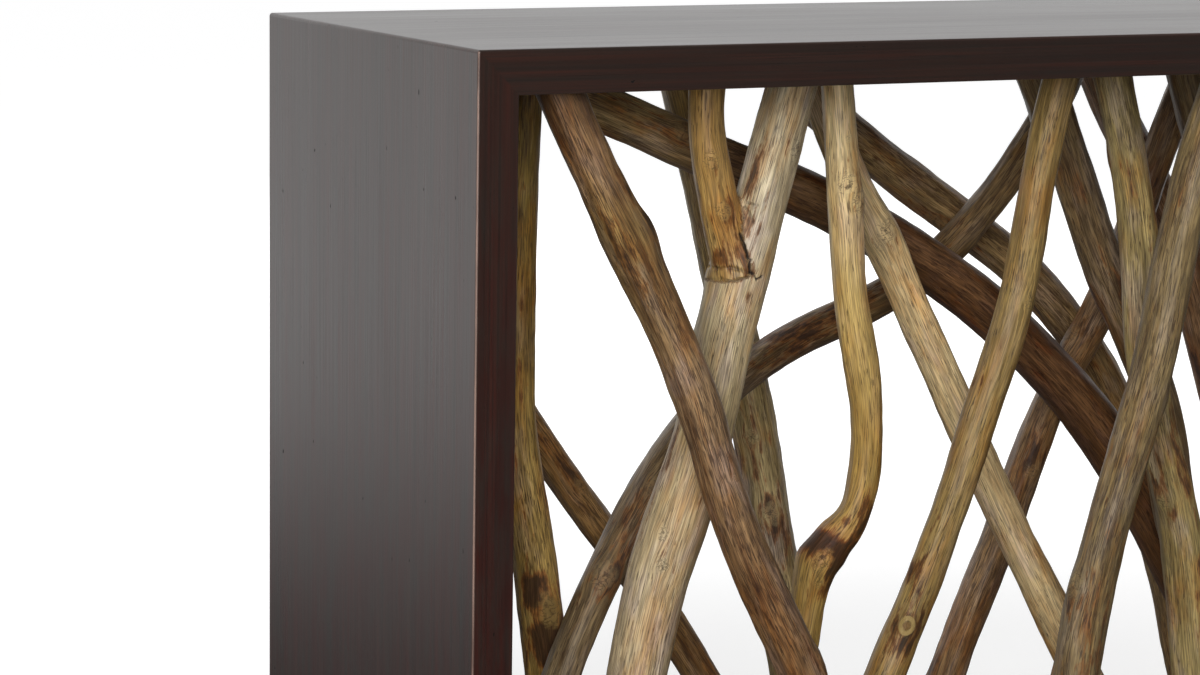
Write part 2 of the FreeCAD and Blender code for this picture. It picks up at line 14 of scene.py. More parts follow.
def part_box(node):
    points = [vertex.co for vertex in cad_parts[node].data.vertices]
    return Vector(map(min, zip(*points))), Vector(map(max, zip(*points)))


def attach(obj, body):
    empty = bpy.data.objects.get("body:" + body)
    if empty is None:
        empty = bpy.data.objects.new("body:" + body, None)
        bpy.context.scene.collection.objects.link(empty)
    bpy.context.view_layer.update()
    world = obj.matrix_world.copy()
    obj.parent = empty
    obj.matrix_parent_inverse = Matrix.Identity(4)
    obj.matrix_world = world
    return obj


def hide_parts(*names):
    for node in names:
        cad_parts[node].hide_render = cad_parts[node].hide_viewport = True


bl_info = {
    "name": "Branch Console Table",
    "version": (1, 0, 0),
    "blender": (4, 5, 0),
    "location": "View3D > Sidebar > Console Table",
    "description": "A mitred, stained frame filled with peeled teak branches, in a plain studio",
    "category": "Object",
}

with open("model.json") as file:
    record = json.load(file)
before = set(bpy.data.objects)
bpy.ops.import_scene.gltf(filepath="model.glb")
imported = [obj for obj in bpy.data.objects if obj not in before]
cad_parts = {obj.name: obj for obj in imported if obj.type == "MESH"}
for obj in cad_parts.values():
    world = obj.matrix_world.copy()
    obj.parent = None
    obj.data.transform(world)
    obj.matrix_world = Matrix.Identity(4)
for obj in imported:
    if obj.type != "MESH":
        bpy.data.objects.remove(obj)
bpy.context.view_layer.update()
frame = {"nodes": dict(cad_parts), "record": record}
SLOT_OF = {part["node"]: part["material_slot"] for part in frame["record"]["subparts"]}

# The frame's own planes, in metres
LEFT_END, RIGHT_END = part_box("left_board")[0].x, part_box("right_board")[1].x
LEFT_FACE, RIGHT_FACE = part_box("left_board")[1].x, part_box("right_board")[0].x
FOOT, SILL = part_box("bottom_board")[0].z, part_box("bottom_board")[1].z
HEAD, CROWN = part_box("top_board")[0].z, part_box("top_board")[1].z
FRONT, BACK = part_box("top_board")[0].y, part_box("top_board")[1].y
THICK = CROWN - HEAD
LAYER_COUNT = 6
LAYER_MARGIN = 0.037
LAYER_PITCH = (BACK - FRONT - 2 * LAYER_MARGIN) / (LAYER_COUNT - 1)
MILLIMETRE = 0.001

# Distances in metres that count as none: between points, off a cutting plane, and past a board's thickness
SAME_PLACE = 1e-5
ON_PLANE = 1e-7
PAST_BOARD = 1e-4

# The two mitres of each board: a corner of the opening, and the way out of the board there
MITRES = {
    "top": (((LEFT_FACE, 0, HEAD), (-1, 0, -1)), ((RIGHT_FACE, 0, HEAD), (1, 0, -1))),
    "bottom": (((LEFT_FACE, 0, SILL), (-1, 0, 1)), ((RIGHT_FACE, 0, SILL), (1, 0, 1))),
    "left": (((LEFT_FACE, 0, HEAD), (1, 0, 1)), ((LEFT_FACE, 0, SILL), (1, 0, -1))),
    "right": (((RIGHT_FACE, 0, HEAD), (-1, 0, 1)), ((RIGHT_FACE, 0, SILL), (-1, 0, -1))),
}

# Metres between the grain patterns of two boards
GRAIN_SHIFT = 3.1

# How much of a normal points one way on a face that counts as a front or back one, and on a flat one
FACES_FRONT = 0.9
FLAT = 0.999

# Rubbed-through edges and a painted highlight line on the front uprights' outer arrises, in radii: how far
# off the flat faces it is full, and how far it reaches from the front and from the outside. The last is the
# share of it that other arrises have.
WEAR_AND_HIGHLIGHT_FULL = 0.19
WEAR_AND_HIGHLIGHT_FRONT = 0.9
WEAR_AND_HIGHLIGHT_OUTSIDE = 2
WEAR_AND_HIGHLIGHT_ELSEWHERE = 0.06

# How ruddy the stain is at the foot of an upright, what it loses up to the crown, and how ruddy the rails
# are; on the uprights this is painted shade that darkens and reddens them towards the foot
RUDDY_AND_SHADE_FOOT = 1.2
RUDDY_AND_SHADE_LOSS = 0.95
WARM_RAIL = 0.15

# Branches from their lower end to their upper end: diameter in millimetres, then (across, layer, up, girth).
# Across and up are percent of the opening, layer counts from 1 at the front to 6 at the back, and girth is
# the share of the branch's own diameter there.
BRANCHES = {
    "front_branch_1": (40, [
        (26.6, 1, 0, 1.05), (24.2, 1, 13, 1.05), (21.2, 1, 27.5, 1.05), (16.9, 1, 43.7, 1.03),
        (14.3, 1, 56.8, 0.95), (12.8, 1, 64.8, 1), (10, 1, 76.2, 1.02), (8.1, 1, 83.4, 1.1),
        (6.3, 1, 90, 0.98), (3.8, 1, 100, 1)]),
    "front_branch_2": (35, [
        (24.3, 1.65, 0, 1.1), (26.8, 1.65, 12, 1.06), (29.7, 1.65, 24.7, 1.03), (31.5, 1.65, 33, 1),
        (33.2, 1.65, 41, 0.98), (36, 1.65, 56, 0.96), (38.6, 1.65, 72, 0.94), (39.8, 1.65, 86, 0.92),
        (41.4, 1.65, 100, 0.9)]),
    "front_branch_3": (42, [
        (40, 1, 0, 1.05), (41.6, 1.05, 16, 1), (43, 1.1, 32, 1.04), (45.6, 1.1, 50, 0.97),
        (47.6, 1.05, 66, 1), (49, 1, 82, 0.95), (51.8, 1, 100, 0.95)]),
    "front_branch_4": (46, [
        (70, 1.1, 0, 1.05), (68.4, 1.1, 18, 1), (65.6, 1.05, 36, 1.05), (63.6, 1, 54, 0.98),
        (61.4, 1, 70, 1), (58.8, 1.05, 86, 0.95), (57.2, 1.1, 100, 0.93)]),
    "front_branch_5": (38, [
        (75.5, 1, 0, 1.05), (77.6, 1.05, 20, 1.02), (78.8, 1.1, 40, 0.95), (79.8, 1.1, 58, 1.05),
        (81.8, 1.05, 78, 0.97), (83, 1, 100, 0.95)]),
    "front_branch_6": (44, [
        (96.2, 1.1, 0, 1.04), (94.4, 1.1, 18, 1), (93, 1.05, 38, 1.04), (90.6, 1, 56, 0.97),
        (89.4, 1, 76, 1), (87.2, 1.05, 100, 0.94)]),
    "forward_branch_1": (31, [
        (22.6, 2.35, 0, 1.05), (23.6, 2.35, 11, 1), (24.7, 2.3, 22, 0.97), (25.6, 2.3, 32, 0.97),
        (26.4, 2.3, 37.6, 1.24), (28, 2.3, 41.4, 1.2), (29.2, 2.3, 45.8, 0.98), (29.7, 2.3, 53, 0.96),
        (29.1, 2.3, 62.6, 1.08), (28, 2.3, 74, 0.98), (27.5, 2.3, 83.8, 1.06), (27.1, 2.3, 91, 0.95),
        (26.6, 2.3, 100, 0.97)]),
    "forward_branch_2": (40, [
        (58, 2.2, 0, 1.05), (56.2, 2.25, 20, 1), (54.8, 2.3, 38, 1.03), (52, 2.3, 56, 0.95),
        (50.4, 2.25, 76, 0.97), (47.2, 2.2, 100, 0.92)]),
    "forward_branch_3": (36, [
        (86.6, 2.2, 0, 1.05), (88.2, 2.2, 22, 1.03), (90.6, 2.25, 42, 0.96), (91.4, 2.3, 60, 1.02),
        (93.4, 2.25, 80, 0.95), (95, 2.2, 100, 0.93)]),
    "middle_branch_1": (36, [
        (12.8, 4, 0, 1.12), (11, 3.82, 21.9, 1.14), (10.2, 3.75, 31.6, 1.22), (9.7, 3.7, 37.7, 1.17),
        (8.6, 3.62, 47.5, 1.08), (7.8, 3.54, 58, 0.96), (7.5, 3.44, 70, 0.92), (7.4, 3.33, 84, 0.9),
        (7.3, 3.2, 100, 0.92)]),
    "middle_branch_2": (35, [
        (55.5, 3.3, 0, 1.12), (52, 3.3, 12, 1.08), (47.6, 3.3, 27, 1.04), (43, 3.3, 43, 1.02),
        (38.3, 3.3, 60.1, 1), (35.1, 3.3, 71.8, 0.97), (33.4, 3.3, 78, 1.08), (31.6, 3.3, 83.5, 1.02),
        (29.5, 3.3, 92, 1), (27.6, 3.3, 100, 0.98)]),
    "middle_branch_3": (44, [
        (63.4, 3.2, 0, 1.05), (61.6, 3.15, 18, 1), (58, 3.1, 36, 1.05), (55.6, 3.1, 54, 0.98),
        (51, 3.15, 72, 1), (47.6, 3.2, 88, 0.94), (44.6, 3.2, 100, 0.94)]),
    "middle_branch_4": (40, [
        (72, 3.2, 0, 1.06), (74.6, 3.25, 18, 1), (77, 3.3, 36, 1.04), (80.4, 3.3, 54, 0.97),
        (83, 3.25, 72, 1), (85.6, 3.2, 88, 0.95), (88.2, 3.2, 100, 0.93)]),
    "middle_branch_5": (38, [
        (85.4, 3.1, 0, 1.05), (88, 3.1, 14, 1), (91.4, 3.15, 28, 1.04), (95.6, 3.2, 44, 0.97),
        (100, 3.2, 60, 0.95)]),
    "rear_branch_1": (48, [
        (69, 4, 0, 1.12), (66, 4, 12, 1.1), (61, 4, 29, 1.08), (55, 4, 46, 1.09), (48, 4, 60, 1.08),
        (40.5, 4, 71, 1.08), (36.5, 4, 75.7, 1.05), (30.8, 4, 81.5, 1.03), (24.3, 4, 86.6, 0.98),
        (18.3, 4, 91.5, 0.96), (7.8, 4, 100, 0.92)]),
    "rear_branch_2": (36, [
        (5.6, 3, 0, 1.06), (8, 3, 14, 1.02), (9.9, 3, 24.8, 0.98), (12.9, 3.2, 35, 0.98),
        (17.1, 3.6, 44.8, 0.98), (22.2, 4.1, 53, 1), (27.6, 4.6, 57.8, 1.02), (33.1, 5, 61.4, 1.05),
        (38.8, 5, 65.5, 1.03), (44, 5, 71, 1), (49.6, 5, 82, 0.98), (53.6, 5, 93, 0.96),
        (55.4, 5, 100, 0.94)]),
    "rear_branch_3": (34, [
        (31.2, 5.4, 0, 1.06), (29, 5.4, 8, 1.02), (25.2, 5.35, 19.8, 0.98), (20.7, 5.3, 31.9, 0.98),
        (13.7, 5.3, 50.2, 1), (6.4, 5.3, 72, 0.97), (0, 5.3, 90, 0.95)]),
    "rear_branch_4": (42, [
        (78, 4.1, 0, 1.06), (76.2, 4.15, 16, 1), (73.6, 4.2, 34, 1.05), (69.8, 4.2, 52, 0.98),
        (67.2, 4.15, 70, 1), (63, 4.1, 86, 0.95), (60.4, 4.1, 100, 0.93)]),
    "rear_branch_5": (40, [
        (84.6, 4.1, 0, 1.05), (86.8, 4.1, 18, 1), (88.4, 4.15, 36, 1.03), (91.6, 4.2, 54, 0.97),
        (93.6, 4.2, 72, 1), (95.2, 4.15, 86, 0.95), (96.8, 4.1, 100, 0.93)]),
    "rear_branch_6": (38, [
        (44, 5, 0, 1.07), (46.8, 5, 16, 1), (50.6, 5.05, 32, 1.05), (54, 5.1, 48, 0.97),
        (58.8, 5.1, 64, 1), (62, 5.05, 80, 0.95), (66, 5, 100, 0.92)]),
    "rear_branch_7": (40, [
        (92.4, 5, 0, 1.06), (90, 5, 18, 1), (87.8, 5.05, 34, 1.04), (84.2, 5.1, 52, 0.97),
        (82.2, 5.1, 68, 1), (79.6, 5.05, 84, 0.95), (77.6, 5, 100, 0.93)]),
    "rear_branch_8": (34, [
        (100, 5.15, 36, 1.05), (97.6, 5.15, 52, 1), (95.6, 5.1, 68, 1.03), (92.8, 5.1, 84, 0.96),
        (91, 5.1, 100, 0.95)]),
    "back_branch_1": (40, [
        (7.6, 6, 0, 1.06), (6.6, 6, 20, 1), (5.2, 6, 42, 1.05), (5.8, 6, 62, 0.97), (4.6, 6, 82, 0.98),
        (5, 6, 100, 0.94)]),
    "back_branch_2": (45, [
        (37.6, 6, 0, 1.08), (36.4, 6, 11.3, 1.05), (34.7, 6, 28.1, 1.04), (33.7, 6, 37.7, 1.04),
        (31.9, 6, 53.5, 1.02), (30.2, 6, 66.6, 1), (28, 6, 83.3, 0.98), (25.6, 6, 100, 0.95)]),
    "back_branch_3": (43, [
        (72, 6, 0, 1.1), (70.6, 6, 10, 1.08), (68.4, 6, 24, 1.05), (65, 6, 40, 1.06), (60.6, 6, 55, 1.02),
        (54.6, 6, 67, 1.03), (47.3, 6, 77.2, 1), (40.3, 6, 86.7, 1), (31.5, 6, 100, 0.97)]),
    "back_branch_4": (46, [
        (81, 6, 0, 1.06), (79, 6, 18, 1), (75.4, 6, 36, 1.05), (71.8, 6, 54, 0.98), (68.6, 6, 70, 1),
        (63.4, 6, 86, 0.95), (59.6, 6, 100, 0.93)]),
    "back_branch_5": (40, [
        (88, 6, 0, 1.05), (89.4, 6, 20, 1.02), (88.2, 6, 42, 0.96), (90, 6, 62, 1.03), (91.6, 6, 82, 0.95),
        (90.8, 6, 100, 0.94)]),
    "forked_branch_1": (56, [
        (10.4, 2, 0, 1.02), (11.3, 2, 14, 0.98), (12.4, 2, 26.9, 0.97), (13.9, 2, 39.4, 1.04),
        (14.9, 2, 45, 1.07), (16.8, 2, 56.6, 0.97), (18.1, 2, 68.5, 0.96), (19.2, 2, 76, 0.94),
        (20.7, 2, 85.7, 0.87), (21.6, 2, 92, 0.85), (22.7, 2, 100, 0.82)]),
    "forked_branch_2": (54, [
        (80.4, 2.1, 0, 1.05), (78.8, 2.1, 16, 1), (77.4, 2.1, 32, 1.03), (75, 2.1, 46, 1.06),
        (73.4, 2.1, 58, 0.93), (71.2, 2.1, 74, 0.84), (68.9, 2.05, 88, 0.8), (68, 2, 100, 0.77)]),
}

# The second prong of a forked branch grows out of the trunk; its first point is inside the trunk
PRONGS = {
    "forked_branch_1": (36, [
        (18.9, 2, 69, 0.9), (18.5, 2, 77, 1.06), (17.7, 2, 82.6, 1.02), (17.1, 2, 87.6, 1),
        (16.6, 2, 93.5, 0.94), (16.6, 2, 100, 0.95)]),
    "forked_branch_2": (38, [
        (76.3, 2.1, 38, 0.9), (75.5, 2.12, 52, 1.04), (76.7, 2.15, 66, 1), (77.5, 2.2, 82, 0.95),
        (79, 2.2, 100, 0.93)]),
}

# Knots: share of the branch's length, degrees round it from the front to the right, radius and height in mm
KNOTS = {
    "front_branch_1": [(0.279, 60, 11, 3.4), (0.53, 21, 5, 0.6)],
    "front_branch_2": [(0.309, -31, 8, 1.2), (0.72, 20, 8, 1.5)],
    "forward_branch_1": [(0.864, -18, 10, 1.4), (0.841, 25, 11, 3), (0.919, 0, 4, 0.5), (0.375, -27, 9, 2.4),
                         (0.35, -15, 5, 0.8)],
    "middle_branch_1": [(0.32, 0, 14, 3.6)],
    "middle_branch_2": [(0.787, -4, 11, 2.8), (0.775, -42, 6, 1.2)],
    "rear_branch_2": [(0.347, -19, 9, 1.6), (0.257, -28, 13, 2.2)],
    "rear_branch_3": [(0.476, 19, 9, 1.8)],
    "back_branch_2": [(0.353, -20, 10, 1), (0.464, -38, 8, 0.8)],
    "forked_branch_1": [(0.912, 25, 9, 1.6), (0.434, -47, 6, 0.7), (0.398, -30, 6, 0.7)],
    "forked_branch_1_prong": [(0.688, -23, 8, 1.4), (0.487, -15, 8, 1.6)],
}

# Brown remains of bark: share, degrees, half length and half width in mm, strength
PATCHES = {
    "front_branch_1": [(0.825, 52, 24, 10, 0.6), (0.885, 40, 40, 8, 0.5), (0.6, 45, 60, 8, 0.4),
                       (0.8, -50, 60, 7, 0.45)],
    "front_branch_2": [(0.31, -31, 36, 22, 0.58), (0.372, -79, 26, 13, 0.6), (0.44, -66, 26, 10, 0.5)],
    "forward_branch_1": [(0.388, -86, 13, 14, 1.25), (0.395, -48, 11, 12, 1.15), (0.394, -20, 10, 10, 1),
                         (0.398, 8, 14, 11, 0.8), (0.38, 38, 38, 18, 1.1), (0.434, 22, 34, 8, 0.66),
                         (0.432, -36, 10, 6, 0.55), (0.352, 34, 22, 9, 0.62), (0.838, 30, 14, 7, 0.6)],
    "middle_branch_1": [(0.352, -38, 22, 14, 1.1), (0.283, -15, 26, 18, 1.2)],
    "middle_branch_2": [(0.78, -25, 22, 12, 0.5)],
    "rear_branch_2": [(0.31, -10, 60, 12, 0.5), (0.6, -40, 90, 16, 0.6)],
    "back_branch_2": [(0.353, -20, 42, 14, 0.52), (0.324, -2, 34, 12, 0.55), (0.464, -40, 50, 9, 0.55)],
    "forked_branch_1": [(0.9, 75, 50, 9, 0.5), (0.62, 85, 60, 8, 0.4), (0.5, -95, 70, 7, 0.5),
                        (0.816, -40, 28, 13, 0.6), (0.88, -62, 36, 8, 0.6)],
    "forked_branch_1_prong": [(0.3, -50, 18, 14, 0.55), (0.5, 5, 24, 8, 0.4)],
}

# Swellings without a knot: share, degrees, radius and height in mm
SWELLS = {"forked_branch_1": [(0.748, -112, 18, 5)], "front_branch_1": [(0.819, 72, 20, 4.2)],
          "forward_branch_1": [(0.371, -114, 10, 2.7), (0.386, 62, 10, 1.8), (0.446, -115, 17, -4.4)]}

# Knots that show a clear pale ring, how much longer a knot is along the branch than across it, and how far it
# works on the wood round it, in radii
RINGED = {"front_branch_2": 0}
KNOT_STRETCH = 1.3
KNOT_REACH = 3.0

# Shares by which a knot's middle is hollowed and the grain bends round it, and in metres the radius of a knot
# without bark and how much more a fully barked one has
KNOT_HOLLOW = 0.45
KNOT_BEND = 0.5
BARE_KNOT = 0.004
BARKED_KNOT = 0.015

# Unevenness of a branch: how oval it is, in radii, then the height of swellings, flats and dents, in metres
OVAL = 0.035
SLOW_SWELL = 0.0018
LONG_FLAT = 0.0011
DENT = 0.0005

# Creases of a fork: depth and half width in mm, darkness (dark cracks in the deep ones, painted shade in the
# shallow ones), then a line of shares and degrees on its trunk
CREASES = {
    "forked_branch_1": [
        (2.6, 0.85, 1, [(0.801, -52), (0.791, -41), (0.783, -35), (0.777, -25), (0.775, -19), (0.768, -20),
                        (0.761, -13), (0.756, -4), (0.755, 4), (0.76, 14)]),
        (1.3, 0.6, 0.8, [(0.793, -48), (0.79, -44), (0.783, -38), (0.778, -29)]),
        (1.8, 1.6, 0.4, [(0.755, -115), (0.752, -78), (0.756, -53), (0.757, -30), (0.761, -16)]),
        (1.3, 1.3, 0.35, [(0.74, -110), (0.743, -68), (0.742, -46), (0.747, -29), (0.755, -14)]),
        (0.9, 1.1, 0.45, [(0.834, -60), (0.826, -49), (0.807, -18)]),
        (0.9, 1.1, 0.45, [(0.84, -58), (0.836, -35)]),
    ],
}

# How far the wood of a prong spreads over the trunk, in radii, at some ways along the prong in metres
COLLAR_WAY = (0.044, 0.052, 0.088)
COLLAR_SPREAD = (0.0, 0.42, 0.0)

# Where two limbs meet: half width of the seam in radii, strength of its bark and of its dark cracked line,
# which is partly painted shade between the limbs, rounds of smoothing, and in metres how far a crease works
# and wanders, and a distance that is outside of any limb
SEAM_WIDTH = 0.3
SEAM_BARK = 0.45
SEAM_CRACK_AND_SHADE = 0.55
JOINT_ROUNDS = 10
CREASE_REACH = 0.006
CREASE_WANDER = 0.0012
OUTSIDE_ANY_LIMB = 0.15

# Diameters that a limb runs on past the opening, to be cut off there
OVERRUN = 2.2

# Tints of single branches against their tone, at shares of their length: partly the branch's own colour,
# partly painted light and shade, darker at the top of front_branch_1 under the top board and lighter on
# branches deep in the frame, in the shade of the boards
TINTS_AND_PAINTED_LIGHT = {
    "front_branch_1": [(0.38, (0.72, 0.66, 0.58)), (0.65, (1, 1.07, 1.14)), (0.84, (0.77, 0.78, 0.53)),
                       (0.93, (0.9, 0.85, 0.75)), (0.98, (0.5, 0.45, 0.39))],
    "front_branch_2": [(0, (0.55, 0.46, 0.26))],
    "forward_branch_1": [(0.36, (0.8, 0.65, 0.31)), (0.393, (0.84, 0.5, 0.24)), (0.43, (0.77, 0.61, 0.28)),
                         (0.52, (0.77, 0.61, 0.28)), (0.72, (1, 0.86, 0.5)), (0.9, (1.41, 1.35, 1.2))],
    "middle_branch_1": [(0.5, (1.57, 1.38, 1.04)), (0.85, (1.16, 1, 0.59))],
    "middle_branch_2": [(0, (1.32, 1.24, 1.12))],
    "rear_branch_1": [(0.62, (0.62, 0.42, 0.32)), (0.79, (1.3, 1.06, 0.92)), (0.87, (2.2, 2.2, 2))],
    "rear_branch_2": [(0.44, (1.03, 1.04, 1.03)), (0.56, (1.1, 1.03, 0.88))],
    "rear_branch_3": [(0, (1.23, 1.19, 0.92))],
    "back_branch_2": [(0.35, (1.4, 1.45, 1.85)), (0.62, (1.6, 1.62, 1.7)), (0.85, (1.4, 1.25, 1.05))],
    "back_branch_3": [(0, (1.83, 1.76, 1.54))],
    "forked_branch_1": [(0.25, (0.9, 0.89, 0.93)), (0.6, (0.86, 0.83, 0.76)), (0.85, (1.02, 1.06, 1.16))],
    "forked_branch_1_prong": [(0.2, (0.74, 0.62, 0.38)), (0.6, (0.84, 0.64, 0.33)),
                              (0.9, (0.88, 0.66, 0.34))],
}

# Share of dark blotches and of short dark dashes in each tone of teak
TONES = {"honey": (0.3, 0.36), "russet": (0.42, 0.6), "olive": (0.45, 0.48), "umber": (0.45, 0.6)}

# Small parts by slot: setting of the colour, marks to the metre along x, y and z, contrast, roughness, relief
# in metres, and share of metal
SMALL_PARTS = {
    "beech_dowel": ("beech", (420, 420, 40), 0.3, 0.45, 0.0003, 0.0),
    "spline_ply": ("ply", (900, 25, 900), 0.4, 0.5, 0.0004, 0.0),
    "nylon_glide": ("nylon", (700, 700, 700), 0.25, 0.4, 0.0002, 0.0),
    "nail_steel": ("steel", (2500, 2500, 120), 0.35, 0.25, 0.0001, 1.0),
}

# Lamps: size in metres, place, and whether glossy wood shows it
LAMPS = {
    "key": (2.6, (-2.85, -3.3, 1.9), False),
    "sheen": (4.2, (-2.95, -3.5, 2.4), True),
    "fill": (3.0, (3.6, -2.4, 2.2), True),
    "back": (3.0, (1.2, 4.2, 2.6), False),
}

# Radius in metres and sides of the floor, and the camera's sensor in millimetres and reach in metres
FLOOR_RADIUS = 30
FLOOR_SIDES = 96
SENSOR_WIDTH = 36
CAMERA_REACH = 100

# Fixed colours: ones that wood is multiplied by (the ruddy one also paints shade towards the uprights' feet),
# dark marks in it (the dark cracks also paint shade in the fork's creases), and the studio's grey and white
GOLDEN = (1.0, 0.72, 0.42, 1)
WEATHERED = (1.0, 0.93, 0.95, 1)
RUDDY_AND_SHADE = (1.2, 0.36, 0.28, 1)
CRACK_AND_SHADE = (0.012, 0.008, 0.006, 1)
STAINED_PORE = (0.004, 0.0025, 0.002, 1)
PINHOLE = (0.002, 0.0015, 0.001, 1)
DIM = (0.1, 0.1, 0.1, 1)
WHITE = (1, 1, 1, 1)


# Settings

def colour(name, text, default):
    """A colour that a user may change."""
    return bpy.props.FloatVectorProperty(
        name=name, description=text, subtype="COLOR", size=4, min=0, max=1, default=(*default, 1))


def length(name, text, default):
    """A length that a user may change."""
    return bpy.props.FloatProperty(name=name, description=text, unit="LENGTH", min=0, default=default)


def angle(name, text, degrees):
    """An angle that a user may change."""
    default = math.radians(degrees)
    return bpy.props.FloatProperty(name=name, description=text, subtype="ANGLE", default=default)


def power(name, text, default):
    """A lamp's power that a user may change."""
    return bpy.props.FloatProperty(name=name, description=text, subtype="POWER", default=default)


class FrameFinish(bpy.types.PropertyGroup):
    """Sizes and colours of the four frame boards."""
    arris: length("Arris", "Radius of the eased long edges", 0.002)
    nose: length("Nose", "Radius of the four outer corners", 0.003)
    stain: colour("Stain", "Main colour of the stained boards", (0.0168, 0.0112, 0.0088))
    streak: colour("Streak", "Red-brown streaks along the grain", (0.042, 0.0135, 0.0085))
    # Also the colour of the painted highlight line along the front uprights' outer arrises
    rubbed: colour("Rubbed", "Pale wood where an arris is rubbed through", (0.3, 0.2, 0.16))


class BranchFinish(bpy.types.PropertyGroup):
    """Mesh density and colours of the branches."""
    sides: bpy.props.IntProperty(name="Sides", description="Faces round a branch", min=12, default=56)
    ring_step: length("Ring Step", "Distance between two rings of faces", 0.004)
    fork_grain: length("Fork Grain", "Voxel size where two limbs grow together", 0.0024)
    honey_light: colour("Honey Light", "Pale wood of the honey branches", (0.455, 0.373, 0.222))
    honey_dark: colour("Honey Dark", "Dark wood of the honey branches", (0.295, 0.212, 0.108))
    russet_light: colour("Russet Light", "Pale wood of the russet branches", (0.335, 0.205, 0.098))
    russet_dark: colour("Russet Dark", "Dark wood of the russet branches", (0.09, 0.04, 0.015))
    olive_light: colour("Olive Light", "Pale wood of the olive branches", (0.33, 0.25, 0.1))
    olive_dark: colour("Olive Dark", "Dark wood of the olive branches", (0.125, 0.085, 0.028))
    umber_light: colour("Umber Light", "Pale wood of the umber branches", (0.25, 0.175, 0.088))
    umber_dark: colour("Umber Dark", "Dark wood of the umber branches", (0.075, 0.045, 0.02))
    bark: colour("Bark", "Remains of bark round the knots", (0.03, 0.014, 0.009))
    rust: colour("Rust", "Rust-brown edges of the bark", (0.17, 0.07, 0.022))


class SmallPartFinish(bpy.types.PropertyGroup):
    """Colours of the dowels, splines, glides and nails."""
    beech: colour("Beech", "Dowels", (0.54, 0.34, 0.17))
    ply: colour("Ply", "Splines", (0.48, 0.32, 0.16))
    nylon: colour("Nylon", "Glides", (0.022, 0.015, 0.011))
    steel: colour("Steel", "Nails", (0.34, 0.34, 0.35))


class StudioSettings(bpy.types.PropertyGroup):
    """Camera, lamps and floor."""
    lens: bpy.props.FloatProperty(
        name="Lens", description="Focal length in millimetres", unit="CAMERA", default=100.35)
    yaw: angle("Yaw", "Turn of the camera to the right of straight ahead", 27.467)
    pitch: angle("Pitch", "Tilt of the camera above the horizon", -9.371)
    roll: angle("Roll", "Lean of the camera", 0.922)
    eye: bpy.props.FloatVectorProperty(
        name="Eye", description="Place of the camera", subtype="XYZ", unit="LENGTH",
        default=(-1.92469, -2.68761, 1.02671))
    floor: colour("Floor", "Pale floor", (0.42, 0.42, 0.42))
    ambient: colour("Ambient", "Soft light from all round", (0.17, 0.17, 0.173))
    key_power: power("Key Power", "Large lamp at the front left", 165)
    sheen_power: power("Sheen Power", "Lamp at the front left that shows on glossy wood", 120)
    fill_power: power("Fill Power", "Large lamp at the right", 12)
    back_power: power("Back Power", "Large lamp behind the table", 150)


# Shader nodes

class Nodes:
    """A node tree and short ways to add to it; an input takes a value or another node's output."""

    def __init__(self, tree):
        self.tree = tree

    def feed(self, sockets, given):
        """Join outputs to some sockets, or set the sockets' own values."""
        for key, source in given.items():
            if isinstance(source, bpy.types.NodeSocket):
                self.tree.links.new(source, sockets[key])
            else:
                sockets[key].default_value = source

    def add(self, kind, given=None, **settings):
        """The outputs of a new node."""
        made = self.tree.nodes.new("ShaderNode" + kind)
        for key, setting in settings.items():
            setattr(made, key, setting)
        self.feed(made.inputs, given or {})
        return made.outputs

    def sums(self, operation, *terms, clamp=False):
        """The result of one math node."""
        return self.add("Math", dict(enumerate(terms)), operation=operation, use_clamp=clamp)[0]

    def times(self, first, second, clamp=False):
        """A product."""
        return self.sums("MULTIPLY", first, second, clamp=clamp)

    def plus(self, first, second):
        """A sum."""
        return self.sums("ADD", first, second)

    def minus(self, first, second):
        """A difference."""
        return self.sums("SUBTRACT", first, second)

    def times_plus(self, first, second, rest):
        """A product with something added."""
        return self.sums("MULTIPLY_ADD", first, second, rest)

    def mix(self, share, first, second, kind="MIX"):
        """Two colours mixed by a share; a mix node has its colours at the inputs 6 and 7 and the output 2."""
        return self.add("Mix", {0: share, 6: first, 7: second}, data_type="RGBA", blend_type=kind)[2]

    def tinted(self, under, tint):
        """One colour times another."""
        return self.mix(1.0, under, tint, "MULTIPLY")

    def cover(self, under, tint, mask, strength):
        """One colour laid over another where a mask shows."""
        return self.mix(self.times(mask, strength), under, tint)

    def ramp(self, source, low, high):
        """A smooth step from 0 at low to 1 at high."""
        ends = {"Value": source, "From Min": low, "From Max": high}
        return self.add("MapRange", ends, interpolation_type="SMOOTHSTEP")[0]

    def fall(self, source, low, high):
        """A smooth step from 1 at low to 0 at high."""
        return self.minus(1.0, self.ramp(source, low, high))

    def band(self, source, low, high, soft):
        """1 between low and high, with soft sides."""
        return self.times(self.ramp(source, low - soft, low), self.fall(source, high, high + soft))

    def attribute(self, name, output="Fac"):
        """One of the piece's own attributes."""
        return self.add("Attribute", attribute_name=name)[output]

    def place(self):
        """The place on the object."""
        return self.add("TexCoord")["Object"]

    def vector(self, operation, *terms):
        """The outputs of one vector math node."""
        return self.add("VectorMath", dict(enumerate(terms)), operation=operation)

    def noise(self, place, scale, detail, rough=0.5):
        """Noise with so many spots to the unit."""
        given = {"Vector": place, "Scale": scale, "Detail": detail, "Roughness": rough}
        return self.add("TexNoise", given)["Fac"]

    def clouds(self, across, along, detail, offset=0.0, rough=0.5):
        """Noise along the grain: so many spots to the metre across it and along it."""
        scale = self.add("CombineXYZ", {0: across, 1: across, 2: along})[0]
        spot = self.vector("MULTIPLY", self.attribute("grain", "Vector"), scale)[0]
        moved = self.vector("ADD", spot, (offset, offset, offset))[0]
        return self.noise(moved, 1.0, detail, rough)


